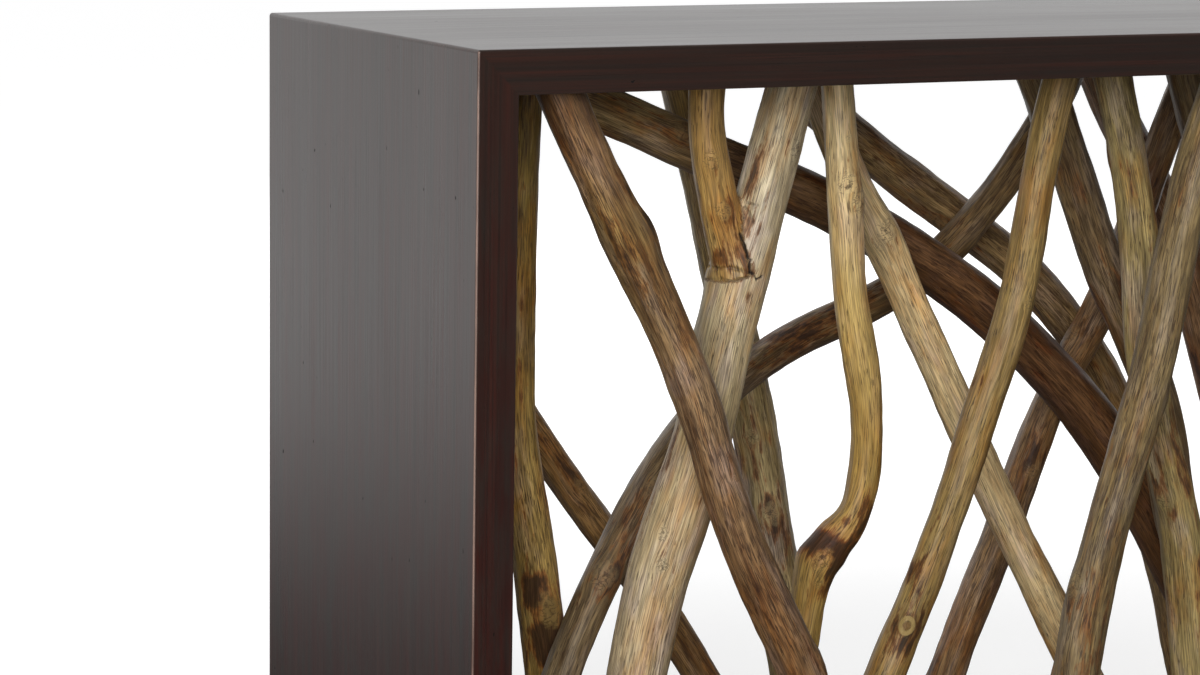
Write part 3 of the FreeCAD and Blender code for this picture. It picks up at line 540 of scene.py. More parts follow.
def new_group(name, inputs, outputs):
    """An empty shader group: its nodes, given sockets and results; a default tells a given socket's kind."""
    tree = bpy.data.node_groups.new(name, "ShaderNodeTree")
    for socket, default in inputs.items():
        kind = "NodeSocketFloat" if isinstance(default, float) else "NodeSocketColor"
        tree.interface.new_socket(name=socket, in_out="INPUT", socket_type=kind).default_value = default
    for socket, kind in outputs.items():
        tree.interface.new_socket(name=socket, in_out="OUTPUT", socket_type="NodeSocket" + kind)
    return Nodes(tree), tree.nodes.new("NodeGroupInput").outputs, tree.nodes.new("NodeGroupOutput").inputs


def fibre_group():
    """Marks along the grain that every wood here has: streaks, fine fibres, thin lines and short pores."""
    found = bpy.data.node_groups.get("wood_fibres")
    if found:
        return found
    inputs = {"Streaks": 70.0, "Streak Run": 5.0, "Fibres": 480.0, "Fibre Run": 36.0, "Pore Share": 0.4}
    outputs = {"Streak": "Float", "Fibre": "Float", "Line": "Float", "Pore": "Float"}
    nodes, given, result = new_group("wood_fibres", inputs, outputs)
    fibres, run = given["Fibres"], given["Fibre Run"]
    streak = nodes.clouds(given["Streaks"], given["Streak Run"], 4.0, rough=0.65)
    fibre = nodes.clouds(fibres, run, 2.0, 7.3)
    dash = nodes.clouds(nodes.times(fibres, 2.4), nodes.times(run, 2.0), 1.0, 19.1)
    line = nodes.clouds(nodes.times(fibres, 2.1), run, 1.0, 53.9)
    crowd = nodes.clouds(40.0, 9.0, 2.0, 31.7)
    edge = nodes.minus(nodes.times_plus(crowd, -0.36, 0.92), nodes.times(given["Pore Share"], 0.3))
    nodes.feed(result, {
        "Streak": nodes.ramp(streak, 0.36, 0.64),
        "Fibre": nodes.ramp(fibre, 0.34, 0.66),
        "Line": nodes.ramp(line, 0.34, 0.66),
        "Pore": nodes.ramp(dash, edge, nodes.plus(edge, 0.045)),
    })
    return nodes.tree


def teak_group():
    """Peeled teak: streaked wood, blotches, remains of bark, wrinkled knots, cracks with painted shade in the
    fork's creases, and each branch's tint, which carries painted light and shade.
    """
    found = bpy.data.node_groups.get("peeled_teak")
    if found:
        return found
    inputs = {"Light": (0.5, 0.35, 0.2, 1), "Dark": (0.2, 0.12, 0.06, 1), "Bark": (0.05, 0.02, 0.01, 1),
              "Rust": (0.2, 0.08, 0.03, 1), "Blotch": 0.3, "Dashes": 0.5}
    outputs = {"Color": "Color", "Roughness": "Float", "Height": "Float"}
    nodes, given, result = new_group("peeled_teak", inputs, outputs)
    light, dark, bark, rust = (given[name] for name in ("Light", "Dark", "Bark", "Rust"))
    marks = nodes.add("Group", {"Pore Share": given["Dashes"]}, node_tree=fibre_group())
    narrow = nodes.clouds(190.0, 18.0, 3.0, 43.3, 0.6)
    blotch = nodes.clouds(38.0, 11.0, 4.0, 3.7, 0.62)
    weather = nodes.clouds(46.0, 13.0, 4.0, 87.1, 0.62)
    patchy = nodes.clouds(150.0, 45.0, 4.0, 11.9, 0.65)

    # Bare wood
    shade = nodes.times_plus(nodes.ramp(narrow, 0.36, 0.64), 0.35, nodes.times(marks["Fibre"], 0.25))
    wood = nodes.mix(nodes.times_plus(marks["Streak"], 0.4, shade), dark, light)
    wood = nodes.cover(wood, nodes.tinted(wood, GOLDEN), nodes.ramp(blotch, 0.46, 0.66), 0.7)
    grey = nodes.add("HueSaturation", {"Saturation": 0.68, "Value": 1.06, "Color": wood})[0]
    wood = nodes.cover(wood, nodes.tinted(grey, WEATHERED), nodes.ramp(weather, 0.48, 0.66), 0.75)

    # Bark that is left on it, thin lines and pores
    left = nodes.plus(nodes.attribute("bark"), nodes.times(given["Blotch"], nodes.ramp(blotch, 0.4, 0.75)))
    left = nodes.plus(left, nodes.times(nodes.minus(narrow, 0.5), 1.1))
    left = nodes.plus(left, nodes.times(nodes.minus(patchy, 0.5), 1.6))
    covered = nodes.ramp(left, 0.34, 0.6)
    wood = nodes.cover(wood, nodes.mix(nodes.ramp(left, 0.5, 0.85), rust, bark), covered, 0.92)
    wood = nodes.tinted(wood, nodes.times_plus(marks["Line"], 0.64, 0.68))
    wood = nodes.cover(wood, bark, marks["Pore"], 0.7)

    # Knots, some of them with a clear ring
    away, eye, ringed = nodes.attribute("knot"), nodes.attribute("eye", "Vector"), nodes.attribute("ringed")
    ragged = nodes.times_plus(nodes.minus(nodes.noise(eye, 1.7, 2.0), 0.5), 1.4, away)
    near = nodes.fall(ragged, 0.6, 1.1)
    wrinkle = nodes.sums("ABSOLUTE", nodes.minus(nodes.noise(eye, 2.3, 3.0), 0.5))
    wrinkle = nodes.times(nodes.fall(wrinkle, 0.0, 0.05), near)
    wood = nodes.cover(wood, light, near, 0.4)
    wood = nodes.cover(wood, bark, wrinkle, 0.65)
    wood = nodes.cover(wood, bark, nodes.fall(ragged, 0.0, 0.26), 0.6)
    wood = nodes.cover(wood, nodes.mix(0.65, rust, dark), ringed, nodes.band(away, 0.0, 0.3, 0.16))
    wood = nodes.cover(wood, light, ringed, nodes.band(away, 0.54, 0.84, 0.12))

    # The branch's tint, partly its own colour and partly painted light and shade
    wood = nodes.tinted(wood, nodes.attribute("tint", "Color"))
    # Dark cracks, with painted shade along the fork's creases and seam
    wood = nodes.mix(nodes.attribute("crack"), wood, CRACK_AND_SHADE)
    rough = nodes.plus(nodes.times(patchy, 0.24), nodes.times_plus(covered, 0.1, 0.36))
    ridges = nodes.times_plus(marks["Fibre"], 0.4, nodes.times(patchy, 0.6))
    height = nodes.minus(ridges, nodes.times_plus(marks["Pore"], 0.7, wrinkle))
    nodes.feed(result, {"Color": wood, "Roughness": rough, "Height": height})
    return nodes.tree


def new_material(name, viewport):
    """An empty material, its nodes and its Principled BSDF."""
    made = bpy.data.materials.new(name)
    made.use_nodes = True
    made.diffuse_color = viewport
    return made, Nodes(made.node_tree), made.node_tree.nodes["Principled BSDF"]


def finish_surface(nodes, shader, tint, rough, height, relief, strength):
    """Join colour, roughness and relief to the shader."""
    bump = nodes.add("Bump", {"Height": height, "Distance": relief, "Strength": strength})
    nodes.feed(shader.inputs, {"Base Color": tint, "Roughness": rough, "Normal": bump["Normal"]})


def dimmed(tint, share):
    """A share of a colour."""
    return (*(share * channel for channel in tint[:3]), 1)


def teak_material(name, tone, finish):
    """Peeled teak in one of the four tones."""
    light, dark = getattr(finish, tone + "_light"), getattr(finish, tone + "_dark")
    blotch, dashes = TONES[tone]
    made, nodes, shader = new_material(name, light)
    given = {"Light": light, "Dark": dark, "Bark": finish.bark, "Rust": finish.rust, "Blotch": blotch,
             "Dashes": dashes}
    teak = nodes.add("Group", given, node_tree=teak_group())
    nodes.feed(shader.inputs, {"Coat Weight": 0.12, "Coat Roughness": 0.4})
    finish_surface(nodes, shader, teak["Color"], teak["Roughness"], teak["Height"], 0.0007, 0.6)
    return made


def stain_material(name, finish):
    """Dark stain under satin lacquer: fine straight grain, red streaks with painted shade towards the
    uprights' feet, small pores, and rubbed arrises that double as a painted highlight line.
    """
    made, nodes, shader = new_material(name, finish.stain)
    sizes = {"Streaks": 110.0, "Streak Run": 1.4, "Fibres": 600.0, "Fibre Run": 3.0, "Pore Share": 0.3}
    marks = nodes.add("Group", sizes, node_tree=fibre_group())
    broad = nodes.clouds(14.0, 1.2, 3.0, 5.1)
    mottled = nodes.ramp(nodes.clouds(60.0, 11.0, 5.0, 61.7, 0.7), 0.36, 0.62)
    rub_and_highlight_spots = nodes.ramp(nodes.clouds(60.0, 9.0, 3.0, 2.2), 0.3, 0.6)
    pinhole = nodes.ramp(nodes.clouds(300.0, 130.0, 0.0, 77.1), 0.885, 0.9)
    red = nodes.times(marks["Streak"], nodes.times_plus(marks["Fibre"], 0.4, 0.14))
    tint = nodes.mix(red, finish.stain, finish.streak)
    # Mottled ruddy tone, made into painted shade by growing towards the foot of each upright
    warm = nodes.times(nodes.attribute("warm"), mottled, clamp=True)
    tint = nodes.mix(warm, tint, nodes.tinted(tint, RUDDY_AND_SHADE))
    tint = nodes.cover(tint, STAINED_PORE, marks["Pore"], 0.6)
    # Pale rubbed-through arrises, which double as a painted highlight line on the front uprights
    tint = nodes.cover(tint, finish.rubbed, nodes.times(nodes.attribute("wear"), rub_and_highlight_spots), 0.75)
    tint = nodes.mix(pinhole, tint, PINHOLE)
    rough = nodes.plus(nodes.times(broad, 0.1), nodes.times_plus(marks["Fibre"], 0.06, 0.24))
    rough = nodes.plus(rough, nodes.times(pinhole, 0.5))
    dips = nodes.times_plus(pinhole, 3.0, nodes.times(marks["Pore"], 0.6))
    height = nodes.minus(nodes.times(marks["Fibre"], 0.4), dips)
    nodes.feed(shader.inputs, {"Specular IOR Level": 0.55})
    finish_surface(nodes, shader, tint, rough, height, 0.0002, 0.3)
    return made


def plain_material(name, tint, grain, contrast, rough, relief, metallic):
    """A small part's finish: its colour broken up by fine marks that run one way."""
    made, nodes, shader = new_material(name, tint)
    fine = nodes.noise(nodes.vector("MULTIPLY", nodes.place(), grain)[0], 1.0, 4.0)
    shade = nodes.mix(nodes.ramp(fine, 0.3, 0.7), dimmed(tint, 1 - contrast), tint)
    nodes.feed(shader.inputs, {"Metallic": metallic})
    finish_surface(nodes, shader, shade, nodes.times_plus(fine, 0.2, rough), fine, relief, 0.4)
    return made


def material_for(slot):
    """The finished material of one slot, made when it is first asked for."""
    name = "finish_" + slot
    scene = bpy.context.scene
    if name in bpy.data.materials:
        return bpy.data.materials[name]
    if slot == "stained_frame":
        return stain_material(name, scene.table_frame)
    if slot in SMALL_PARTS:
        setting, *marks = SMALL_PARTS[slot]
        return plain_material(name, getattr(scene.table_small_parts, setting), *marks)
    return teak_material(name, slot.replace("teak_", ""), scene.table_branches)


def new_piece(name, bm, node):
    """Make an object of a mesh, in the place of a CAD node."""
    slot = SLOT_OF[node]
    mesh = bpy.data.meshes.new(name)
    bm.to_mesh(mesh)
    bm.free()
    mesh.materials.append(material_for(slot))
    piece = bpy.data.objects.new(name, mesh)
    bpy.context.scene.collection.objects.link(piece)
    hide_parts(node)
    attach(piece, "root")


# Frame boards

def frame_ring(finish):
    """The whole frame as one square tube with eased arrises and rounded outer corners."""
    bm = bmesh.new()
    bmesh.ops.create_cube(bm, size=1)
    middle = Vector(((LEFT_END + RIGHT_END) / 2, (FRONT + BACK) / 2, (FOOT + CROWN) / 2))
    bmesh.ops.scale(bm, vec=(RIGHT_END - LEFT_END, BACK - FRONT, CROWN - FOOT), verts=bm.verts)
    bmesh.ops.translate(bm, vec=middle, verts=bm.verts)
    bm.normal_update()
    mouths = [face for face in bm.faces if abs(face.normal.y) > FACES_FRONT]
    bmesh.ops.inset_individual(bm, faces=mouths, thickness=THICK, use_even_offset=True)
    rims = [edge for face in mouths for edge in face.edges]
    bmesh.ops.delete(bm, geom=mouths, context="FACES_ONLY")
    bmesh.ops.bridge_loops(bm, edges=rims)
    bmesh.ops.recalc_face_normals(bm, faces=bm.faces)
    corners = [edge for edge in bm.edges if runs_through(edge) and at_outer_corner(edge.verts[0].co)]
    round_edges(bm, corners, finish.nose)
    arrises = [edge for edge in bm.edges if bounds_a_mouth(edge)]
    round_edges(bm, arrises, finish.arris)
    return bm


def runs_through(edge):
    """True for an edge that runs from the front to the back."""
    return abs(edge.verts[0].co.y - edge.verts[1].co.y) > (BACK - FRONT) / 2


def at_outer_corner(spot):
    """True for a point on two of the frame's outer planes."""
    return (min(abs(spot.x - LEFT_END), abs(spot.x - RIGHT_END)) < SAME_PLACE
            and min(abs(spot.z - FOOT), abs(spot.z - CROWN)) < SAME_PLACE)


def bounds_a_mouth(edge):
    """True for an edge between the front or back face and one that is square to it."""
    flat = [abs(face.normal.y) > FACES_FRONT for face in edge.link_faces]
    return len(flat) == 2 and flat[0] != flat[1]


def round_edges(bm, edges, radius):
    """Ease some edges to a radius."""
    bmesh.ops.bevel(bm, geom=edges, offset=radius, offset_type="OFFSET", segments=5, profile=0.5,
                    affect="EDGES", clamp_overlap=False, material=-1)


def cut_away(bm, spot, outward):
    """Take off what lies beyond a plane and close the cut with flat faces."""
    geom = list(bm.verts) + list(bm.edges) + list(bm.faces)
    cut = bmesh.ops.bisect_plane(
        bm, geom=geom, dist=ON_PLANE, plane_co=spot, plane_no=outward, clear_outer=True)
    rim = [item for item in cut["geom_cut"] if isinstance(item, bmesh.types.BMEdge)]
    for edge in rim:
        edge.smooth = False
    if rim:
        for face in bmesh.ops.holes_fill(bm, edges=rim, sides=0)["faces"]:
            face.smooth = False


def arris_wear_and_highlight(spot, upright, radius):
    """How far a point is rubbed through and carries a painted highlight line: most along the middle of an
    eased edge, on the front uprights above all.
    """
    planes = ((spot.x, (LEFT_END, LEFT_FACE, RIGHT_FACE, RIGHT_END)), (spot.y, (FRONT, BACK)),
              (spot.z, (FOOT, SILL, HEAD, CROWN)))
    gap = min(abs(place - plane) for place, across in planes for plane in across)
    in_front = spot.y - FRONT < WEAR_AND_HIGHLIGHT_FRONT * radius
    outside = min(spot.x - LEFT_END, RIGHT_END - spot.x) < WEAR_AND_HIGHLIGHT_OUTSIDE * radius
    most = 1.0 if upright and in_front and outside else WEAR_AND_HIGHLIGHT_ELSEWHERE
    return most * min(1.0, gap / (WEAR_AND_HIGHLIGHT_FULL * radius))


def is_across_the_opening(spot, side):
    """True for points of the other boards that a mitre cut has left behind."""
    reach = THICK + PAST_BOARD
    return {"top": spot.z < CROWN - reach, "bottom": spot.z > FOOT + reach,
            "left": spot.x > LEFT_END + reach, "right": spot.x < RIGHT_END - reach}[side]


def board_mesh(ring, side, number, radius):
    """One board of the frame, cut from the ring along its two mitres."""
    bm = ring.copy()
    upright = side in ("left", "right")
    for face in bm.faces:
        face.smooth = max(abs(component) for component in face.normal) < FLAT
    for spot, outward in MITRES[side]:
        cut_away(bm, spot, Vector(outward).normalized())
    far = [vert for vert in bm.verts if is_across_the_opening(vert.co, side)]
    bmesh.ops.delete(bm, geom=far, context="VERTS")
    grain = bm.verts.layers.float_vector.new("grain")
    wear = bm.verts.layers.float.new("wear")
    warm = bm.verts.layers.float.new("warm")
    shift = GRAIN_SHIFT * number
    for vert in bm.verts:
        along, through = (vert.co.z, vert.co.x) if upright else (vert.co.x, vert.co.z)
        height = (vert.co.z - FOOT) / (CROWN - FOOT)
        vert[grain] = (vert.co.y + shift, through, along + shift)
        # Rubbed arrises with a painted highlight line
        vert[wear] = arris_wear_and_highlight(vert.co, upright, radius)
        # Painted shade: the stain grows ruddier and darker towards the foot of each upright
        vert[warm] = RUDDY_AND_SHADE_FOOT - RUDDY_AND_SHADE_LOSS * height if upright else WARM_RAIL
    return bm


# Branches

class Limb:
    """One run of round wood: its middle line at even steps, its radius there, and its knots."""

    def __init__(self, name, diameter, path, step, from_board=True):
        self.name = name
        self.radius_named = diameter * MILLIMETRE / 2
        self.random = random.Random(name)
        self.seed = self.random.uniform(0, 40)
        spots = np.array([self.spot(*point[:3]) for point in path])
        girths = np.array([point[3] for point in path])
        line, stops, at = self.spline(spots)
        lengths = np.concatenate(([0], np.cumsum(np.linalg.norm(np.diff(line, axis=0), axis=1))))
        self.length = lengths[-1]
        overrun = OVERRUN * 2 * self.radius_named
        self.reach = np.arange(-overrun if from_board else 0, self.length + overrun, step)
        inside = np.clip(self.reach, 0, self.length)
        along = self.sampled(inside, lengths, np.gradient(line, lengths, axis=0))
        along /= np.linalg.norm(along, axis=1)[:, None]
        self.along = along
        self.centre = self.sampled(inside, lengths, line) + along * (self.reach - inside)[:, None]
        self.radius = self.radius_named * np.interp(np.interp(inside, lengths, at), stops, girths)
        front = np.array((0, -1, 0)) - along * (along @ np.array((0, -1, 0)))[:, None]
        self.front = front / np.linalg.norm(front, axis=1)[:, None]
        self.right = np.cross(along, self.front)
        self.knots = [self.knot(*knot) for knot in KNOTS.get(name) or self.some_knots()]
        self.patches = PATCHES.get(name) or self.some_patches()
        self.swells = [self.knot(*swell) for swell in SWELLS.get(name, [])]
        self.tints = TINTS_AND_PAINTED_LIGHT.get(name) or [(0, self.some_tint())]

    def spot(self, across, layer, up):
        """A point of the opening in metres."""
        return (LEFT_FACE + (RIGHT_FACE - LEFT_FACE) * across / 100,
                FRONT + LAYER_MARGIN + LAYER_PITCH * (layer - 1),
                SILL + (HEAD - SILL) * up / 100)

    def sampled(self, at, lengths, vectors):
        """Vectors between those that are known at some lengths."""
        return np.stack([np.interp(at, lengths, vectors[:, axis]) for axis in range(3)], axis=1)

    def spline(self, spots, samples=600):
        """A natural cubic spline through the points: its line, and the way along it of points and samples."""
        gaps = np.linalg.norm(np.diff(spots, axis=0), axis=1)
        stops = np.concatenate(([0], np.cumsum(gaps)))
        size = len(spots)
        matrix, pull = np.eye(size), np.zeros_like(spots)
        for index in range(1, size - 1):
            before, after = gaps[index - 1], gaps[index]
            matrix[index, index - 1:index + 2] = before, 2 * (before + after), after
            pull[index] = 6 * ((spots[index + 1] - spots[index]) / after
                               - (spots[index] - spots[index - 1]) / before)
        bend = np.linalg.solve(matrix, pull)
        at = np.linspace(0, stops[-1], samples)
        low = np.clip(np.searchsorted(stops, at, side="right") - 1, 0, size - 2)
        gap = gaps[low][:, None]
        far = (at - stops[low])[:, None] / gap
        near = 1 - far
        line = near * spots[low] + far * spots[low + 1] + (
            (near ** 3 - near) * bend[low] + (far ** 3 - far) * bend[low + 1]) * gap ** 2 / 6
        return line, stops, at

    def knot(self, share, degrees, radius, height):
        """A knot in metres and radians."""
        return share * self.length, math.radians(degrees), radius * MILLIMETRE, height * MILLIMETRE

    def some_knots(self):
        """A few knots for a branch that has none of its own in the table."""
        count = self.random.randint(2, 4)
        return [((number + self.random.uniform(0.25, 0.9)) / count, self.random.uniform(-180, 180),
                 self.random.uniform(7, 13), self.random.uniform(0.8, 3.2)) for number in range(count)]

    def some_patches(self):
        """Remains of bark near those knots and elsewhere."""
        near = [(knot[0] / self.length + self.random.uniform(-0.03, 0.03), math.degrees(knot[1]),
                 self.random.uniform(18, 34), self.random.uniform(9, 15), 0.6) for knot in self.knots]
        far = [(self.random.random(), self.random.uniform(-180, 180), self.random.uniform(40, 80),
                self.random.uniform(6, 11), 0.5) for _ in range(3)]
        return near + far

    def some_tint(self):
        """A slight shift of colour, so that no two branches are quite alike."""
        light = self.random.uniform(0.88, 1.1)
        return light, light * self.random.uniform(0.95, 1.03), light * self.random.uniform(0.85, 1.05)

    def tint(self, way):
        """The tint at one place: the branch's own colour, with painted light and shade where the table gives
        it.
        """
        shares, tints = zip(*self.tints)
        return [np.interp(way / self.length, shares, channel) for channel in zip(*tints)]

    def off(self, way, turn, radius, at, bearing):
        """Metres from one spot of the skin to another, along the branch and round it."""
        return way - at, radius * ((turn - bearing + math.pi) % (2 * math.pi) - math.pi)

    def marks(self, way, turn, radius):
        """What the knots and bark do at one place: the rise of the skin, and the marks on it."""
        rise, bent, bark, ringed = 0.0, turn, 0.0, 0.0
        nearest, eye = KNOT_REACH, (KNOT_REACH, KNOT_REACH, 0.0)
        for number, (at, bearing, size, height) in enumerate(self.knots):
            along, around = self.off(way, turn, radius, at, bearing)
            distance = math.hypot(along / KNOT_STRETCH, around) / size
            if distance < nearest:
                nearest, eye = distance, (along / size, around / size, self.seed + 5 * number)
                ringed = 1.0 if RINGED.get(self.name) == number else 0.0
            if distance < KNOT_REACH:
                # A mound with a hollow middle, grain that bends round it, and more bark on a larger knot
                rise += height * (math.exp(-1.1 * distance ** 2) - KNOT_HOLLOW * math.exp(-7 * distance ** 2))
                bent -= around / radius * KNOT_BEND * math.exp(-(distance / 1.2) ** 2)
                bark = max(bark, (size - BARE_KNOT) / BARKED_KNOT * math.exp(-(distance / 1.5) ** 2))
        for at, bearing, size, height in self.swells:
            rise += height * math.exp(-(math.hypot(*self.off(way, turn, radius, at, bearing)) / size) ** 2)
        for share, degrees, long_half, wide_half, strength in self.patches:
            along, around = self.off(way, turn, radius, share * self.length, math.radians(degrees))
            distance = math.hypot(along / long_half, around / wide_half) / MILLIMETRE
            bark = max(bark, strength * math.exp(-distance ** 2))
        return rise, {"grain": self.grain(way, bent), "tint": self.tint(way), "eye": eye, "knot": nearest,
                      "bark": bark, "ringed": ringed}

    def unevenness(self, way, turn, radius):
        """Slow swelling, long flats and small dents of a grown branch."""
        x, y = math.cos(turn), math.sin(turn)
        oval = OVAL * math.cos(2 * turn + 3 * noise.noise(Vector((self.seed, 0, way * 5))))
        slow = noise.noise(Vector((x * 0.9, y * 0.9, way * 14 + self.seed)))
        long_flats = noise.noise(Vector((x * 2.4 + self.seed, y * 2.4, way * 4)))
        dents = noise.noise(Vector((x * 3.5, y * 3.5 + self.seed, way * 60)))
        return radius * oval + SLOW_SWELL * slow + LONG_FLAT * long_flats + DENT * dents

    def grain(self, way, turn):
        """Place on the branch as if it were straight and even, for patterns that follow it."""
        return self.radius_named * math.cos(turn), self.radius_named * math.sin(turn), way + self.seed

    def outward(self, row, turn):
        """The way straight out of the middle line."""
        return math.cos(turn) * self.front[row] + math.sin(turn) * self.right[row]


def mark_layers(bm):
    """The attributes that the teak finish reads."""
    layers = {name: bm.verts.layers.float_vector.new(name) for name in ("grain", "tint", "eye")}
    layers.update({name: bm.verts.layers.float.new(name) for name in ("knot", "bark", "ringed", "crack")})
    return layers


def set_marks(vert, layers, marks):
    """Write a place's marks to a vertex."""
    for name, mark in marks.items():
        vert[layers[name]] = mark


def wrap_limb(bm, limb, sides, layers):
    """Roll a flat grid into the skin of a limb, with its knots and unevenness, and merge its seam."""
    rings = len(limb.reach) - 1
    made = bmesh.ops.create_grid(bm, x_segments=sides, y_segments=rings, size=0.5)["verts"]
    for vert in made:
        turn = (vert.co.x + 0.5) * 2 * math.pi
        row = round((vert.co.y + 0.5) * rings)
        way, radius = limb.reach[row], limb.radius[row]
        rise, marks = limb.marks(way, turn, radius)
        swell = radius + rise + limb.unevenness(way, turn, radius)
        vert.co = Vector(limb.centre[row] + swell * limb.outward(row, turn))
        set_marks(vert, layers, marks)
    bmesh.ops.remove_doubles(bm, verts=made, dist=SAME_PLACE)


def finish_branch(name, bm):
    """Smooth a branch, cut its ends flat against the inner faces of the boards and make it a piece."""
    for face in bm.faces:
        face.smooth = True
    for spot, outward in (((0, 0, SILL), (0, 0, -1)), ((0, 0, HEAD), (0, 0, 1)),
                          ((LEFT_FACE, 0, 0), (-1, 0, 0)), ((RIGHT_FACE, 0, 0), (1, 0, 0))):
        cut_away(bm, spot, outward)
    new_piece("peeled_" + name, bm, name)


def plain_branch(name, finish):
    """A branch with no fork."""
    bm = bmesh.new()
    layers = mark_layers(bm)
    wrap_limb(bm, Limb(name, *BRANCHES[name], finish.ring_step), finish.sides, layers)
    finish_branch(name, bm)


def grown_together(limbs, sides, voxel):
    """Two limbs joined into one skin, as a bmesh without marks."""
    bm = bmesh.new()
    layers = mark_layers(bm)
    for limb in limbs:
        wrap_limb(bm, limb, sides, layers)
    bmesh.ops.holes_fill(bm, edges=[edge for edge in bm.edges if edge.is_boundary], sides=0)
    mesh = bpy.data.meshes.new("limbs")
    bm.to_mesh(mesh)
    bm.free()
    rough = bpy.data.objects.new("limbs", mesh)
    bpy.context.scene.collection.objects.link(rough)
    remesh = rough.modifiers.new("skin", "REMESH")
    remesh.mode = "VOXEL"
    remesh.voxel_size = voxel
    skin = bpy.data.meshes.new_from_object(rough.evaluated_get(bpy.context.evaluated_depsgraph_get()))
    joined = bmesh.new()
    joined.from_mesh(skin)
    bpy.data.objects.remove(rough)
    bpy.data.meshes.remove(mesh)
    bpy.data.meshes.remove(skin)
    return joined


def nearest_on(limb, spots, batch=4000):
    """For many points: way along a limb, turn round it, its radius, and radii off its middle line."""
    rows = np.zeros(len(spots), int)
    for start in range(0, len(spots), batch):
        gaps = spots[start:start + batch, None, :] - limb.centre[None, :, :]
        rows[start:start + batch] = np.argmin(np.einsum("ijk,ijk->ij", gaps, gaps), axis=1)
    off = spots - limb.centre[rows]
    along, right, front = (np.einsum("ij,ij->i", off, axis[rows])
                           for axis in (limb.along, limb.right, limb.front))
    across = off - along[:, None] * limb.along[rows]
    radius = limb.radius[rows]
    return limb.reach[rows] + along, np.arctan2(right, front), radius, np.linalg.norm(across, axis=1) / radius


def distances_to_line(spots, line):
    """Distance from each of many points to a run of straight pieces."""
    best = np.full(len(spots), 1.0)
    for start, end in zip(line, line[1:]):
        run = end - start
        share = np.clip((spots - start) @ run / (run @ run), 0, 1)
        best = np.minimum(best, np.linalg.norm(spots - start - share[:, None] * run, axis=1))
    return best


def on_skin(tree, limb, share, degrees):
    """A point on the grown-together skin, straight out from a limb's middle line."""
    row = int(np.argmin(np.abs(limb.reach - share * limb.length)))
    out = Vector(limb.outward(row, math.radians(degrees)))
    centre = Vector(limb.centre[row])
    hit = tree.ray_cast(centre + out * OUTSIDE_ANY_LIMB, -out)[0]
    return np.array(hit or centre + out * limb.radius[row])


def press_creases(bm, trunk, layers):
    """Press the creases round the collar of a fork into the wood and darken them: dark cracks, and painted
    shade in the shallower creases.
    """
    tree = BVHTree.FromBMesh(bm)
    lines = [(depth * MILLIMETRE, half * MILLIMETRE, dark, [on_skin(tree, trunk, *spot) for spot in line])
             for depth, half, dark, line in CREASES.get(trunk.name, [])]
    if not lines:
        return
    bm.verts.index_update()
    spots = np.array([vert.co for vert in bm.verts])
    close = np.min([distances_to_line(spots, line) for *_, line in lines], axis=0) < CREASE_REACH
    near = [edge for edge in bm.edges if close[edge.verts[0].index] and close[edge.verts[1].index]]
    bmesh.ops.subdivide_edges(bm, edges=near, cuts=2, use_grid_fill=True)
    bm.normal_update()
    spots = np.array([vert.co for vert in bm.verts])
    wander = np.array([CREASE_WANDER * noise.noise(vert.co * 220) for vert in bm.verts])
    crack = layers["crack"]
    for depth, half, dark, line in lines:
        gaps = np.abs(distances_to_line(spots, line) + wander)
        for vert, gap in zip(bm.verts, gaps):
            if gap < 3 * half:
                vert[crack] = max(vert[crack], dark * min(1.0, max(0.0, 1.5 - gap / half)))
                vert.co -= vert.normal * depth * math.exp(-(gap / half) ** 2)


def forked_branch(name, finish):
    """A branch whose second prong grows out of the trunk."""
    trunk = Limb(name, *BRANCHES[name], finish.ring_step)
    prong = Limb(name + "_prong", *PRONGS[name], finish.ring_step, False)
    bm = grown_together((trunk, prong), finish.sides, finish.fork_grain)
    layers = mark_layers(bm)
    spots = np.array([vert.co for vert in bm.verts])
    *on_trunk, from_trunk = nearest_on(trunk, spots)
    *on_prong, from_prong = nearest_on(prong, spots)
    climb = on_prong[0]
    gap = from_prong - from_trunk
    spread = np.interp(climb, COLLAR_WAY, COLLAR_SPREAD)
    seam = 1 - np.abs(gap - spread) / SEAM_WIDTH
    seam[climb < 0] = 0
    for index, vert in enumerate(bm.verts):
        own = gap[index] < spread[index] and climb[index] > 0
        limb, places = (prong, on_prong) if own else (trunk, on_trunk)
        _, marks = limb.marks(*(place[index] for place in places))
        # Bark and broken dark cracks along the seam, partly painted shade between the limbs
        marks["bark"] = max(marks["bark"], SEAM_BARK * seam[index])
        narrow = max(0.0, 1 - 5 * (1 - seam[index]))
        marks["crack"] = SEAM_CRACK_AND_SHADE * narrow * (0.5 + noise.noise(vert.co * 140))
        set_marks(vert, layers, marks)
    joint = [vert for vert, apart, way in zip(bm.verts, gap, climb) if abs(apart) < SEAM_WIDTH and way >= 0]
    for _ in range(JOINT_ROUNDS):
        bmesh.ops.smooth_vert(bm, verts=joint, factor=0.5, use_axis_x=True, use_axis_y=True, use_axis_z=True)
    press_creases(bm, trunk, layers)
    finish_branch(name, bm)


# Studio

def soft_lamp(name, power_watts, size, spot, shows):
    """A large square lamp that looks at the middle of the table; it may be kept out of reflections."""
    lamp = bpy.data.lights.new(name, "AREA")
    lamp.energy = power_watts
    lamp.size = size
    holder = bpy.data.objects.new(name, lamp)
    away = Vector(spot) - Vector((0, 0, (SILL + HEAD) / 2))
    holder.matrix_world = Matrix.Translation(spot) @ away.to_track_quat("Z", "Y").to_matrix().to_4x4()
    holder.visible_glossy = shows
    bpy.context.scene.collection.objects.link(holder)


def ray_kinds(nodes):
    """1 for rays from the camera, and 1 for rays that the object mirrors or lets through."""
    path = nodes.add("LightPath")
    return path["Is Camera Ray"], nodes.sums("MAXIMUM", path["Is Glossy Ray"], path["Is Transmission Ray"])


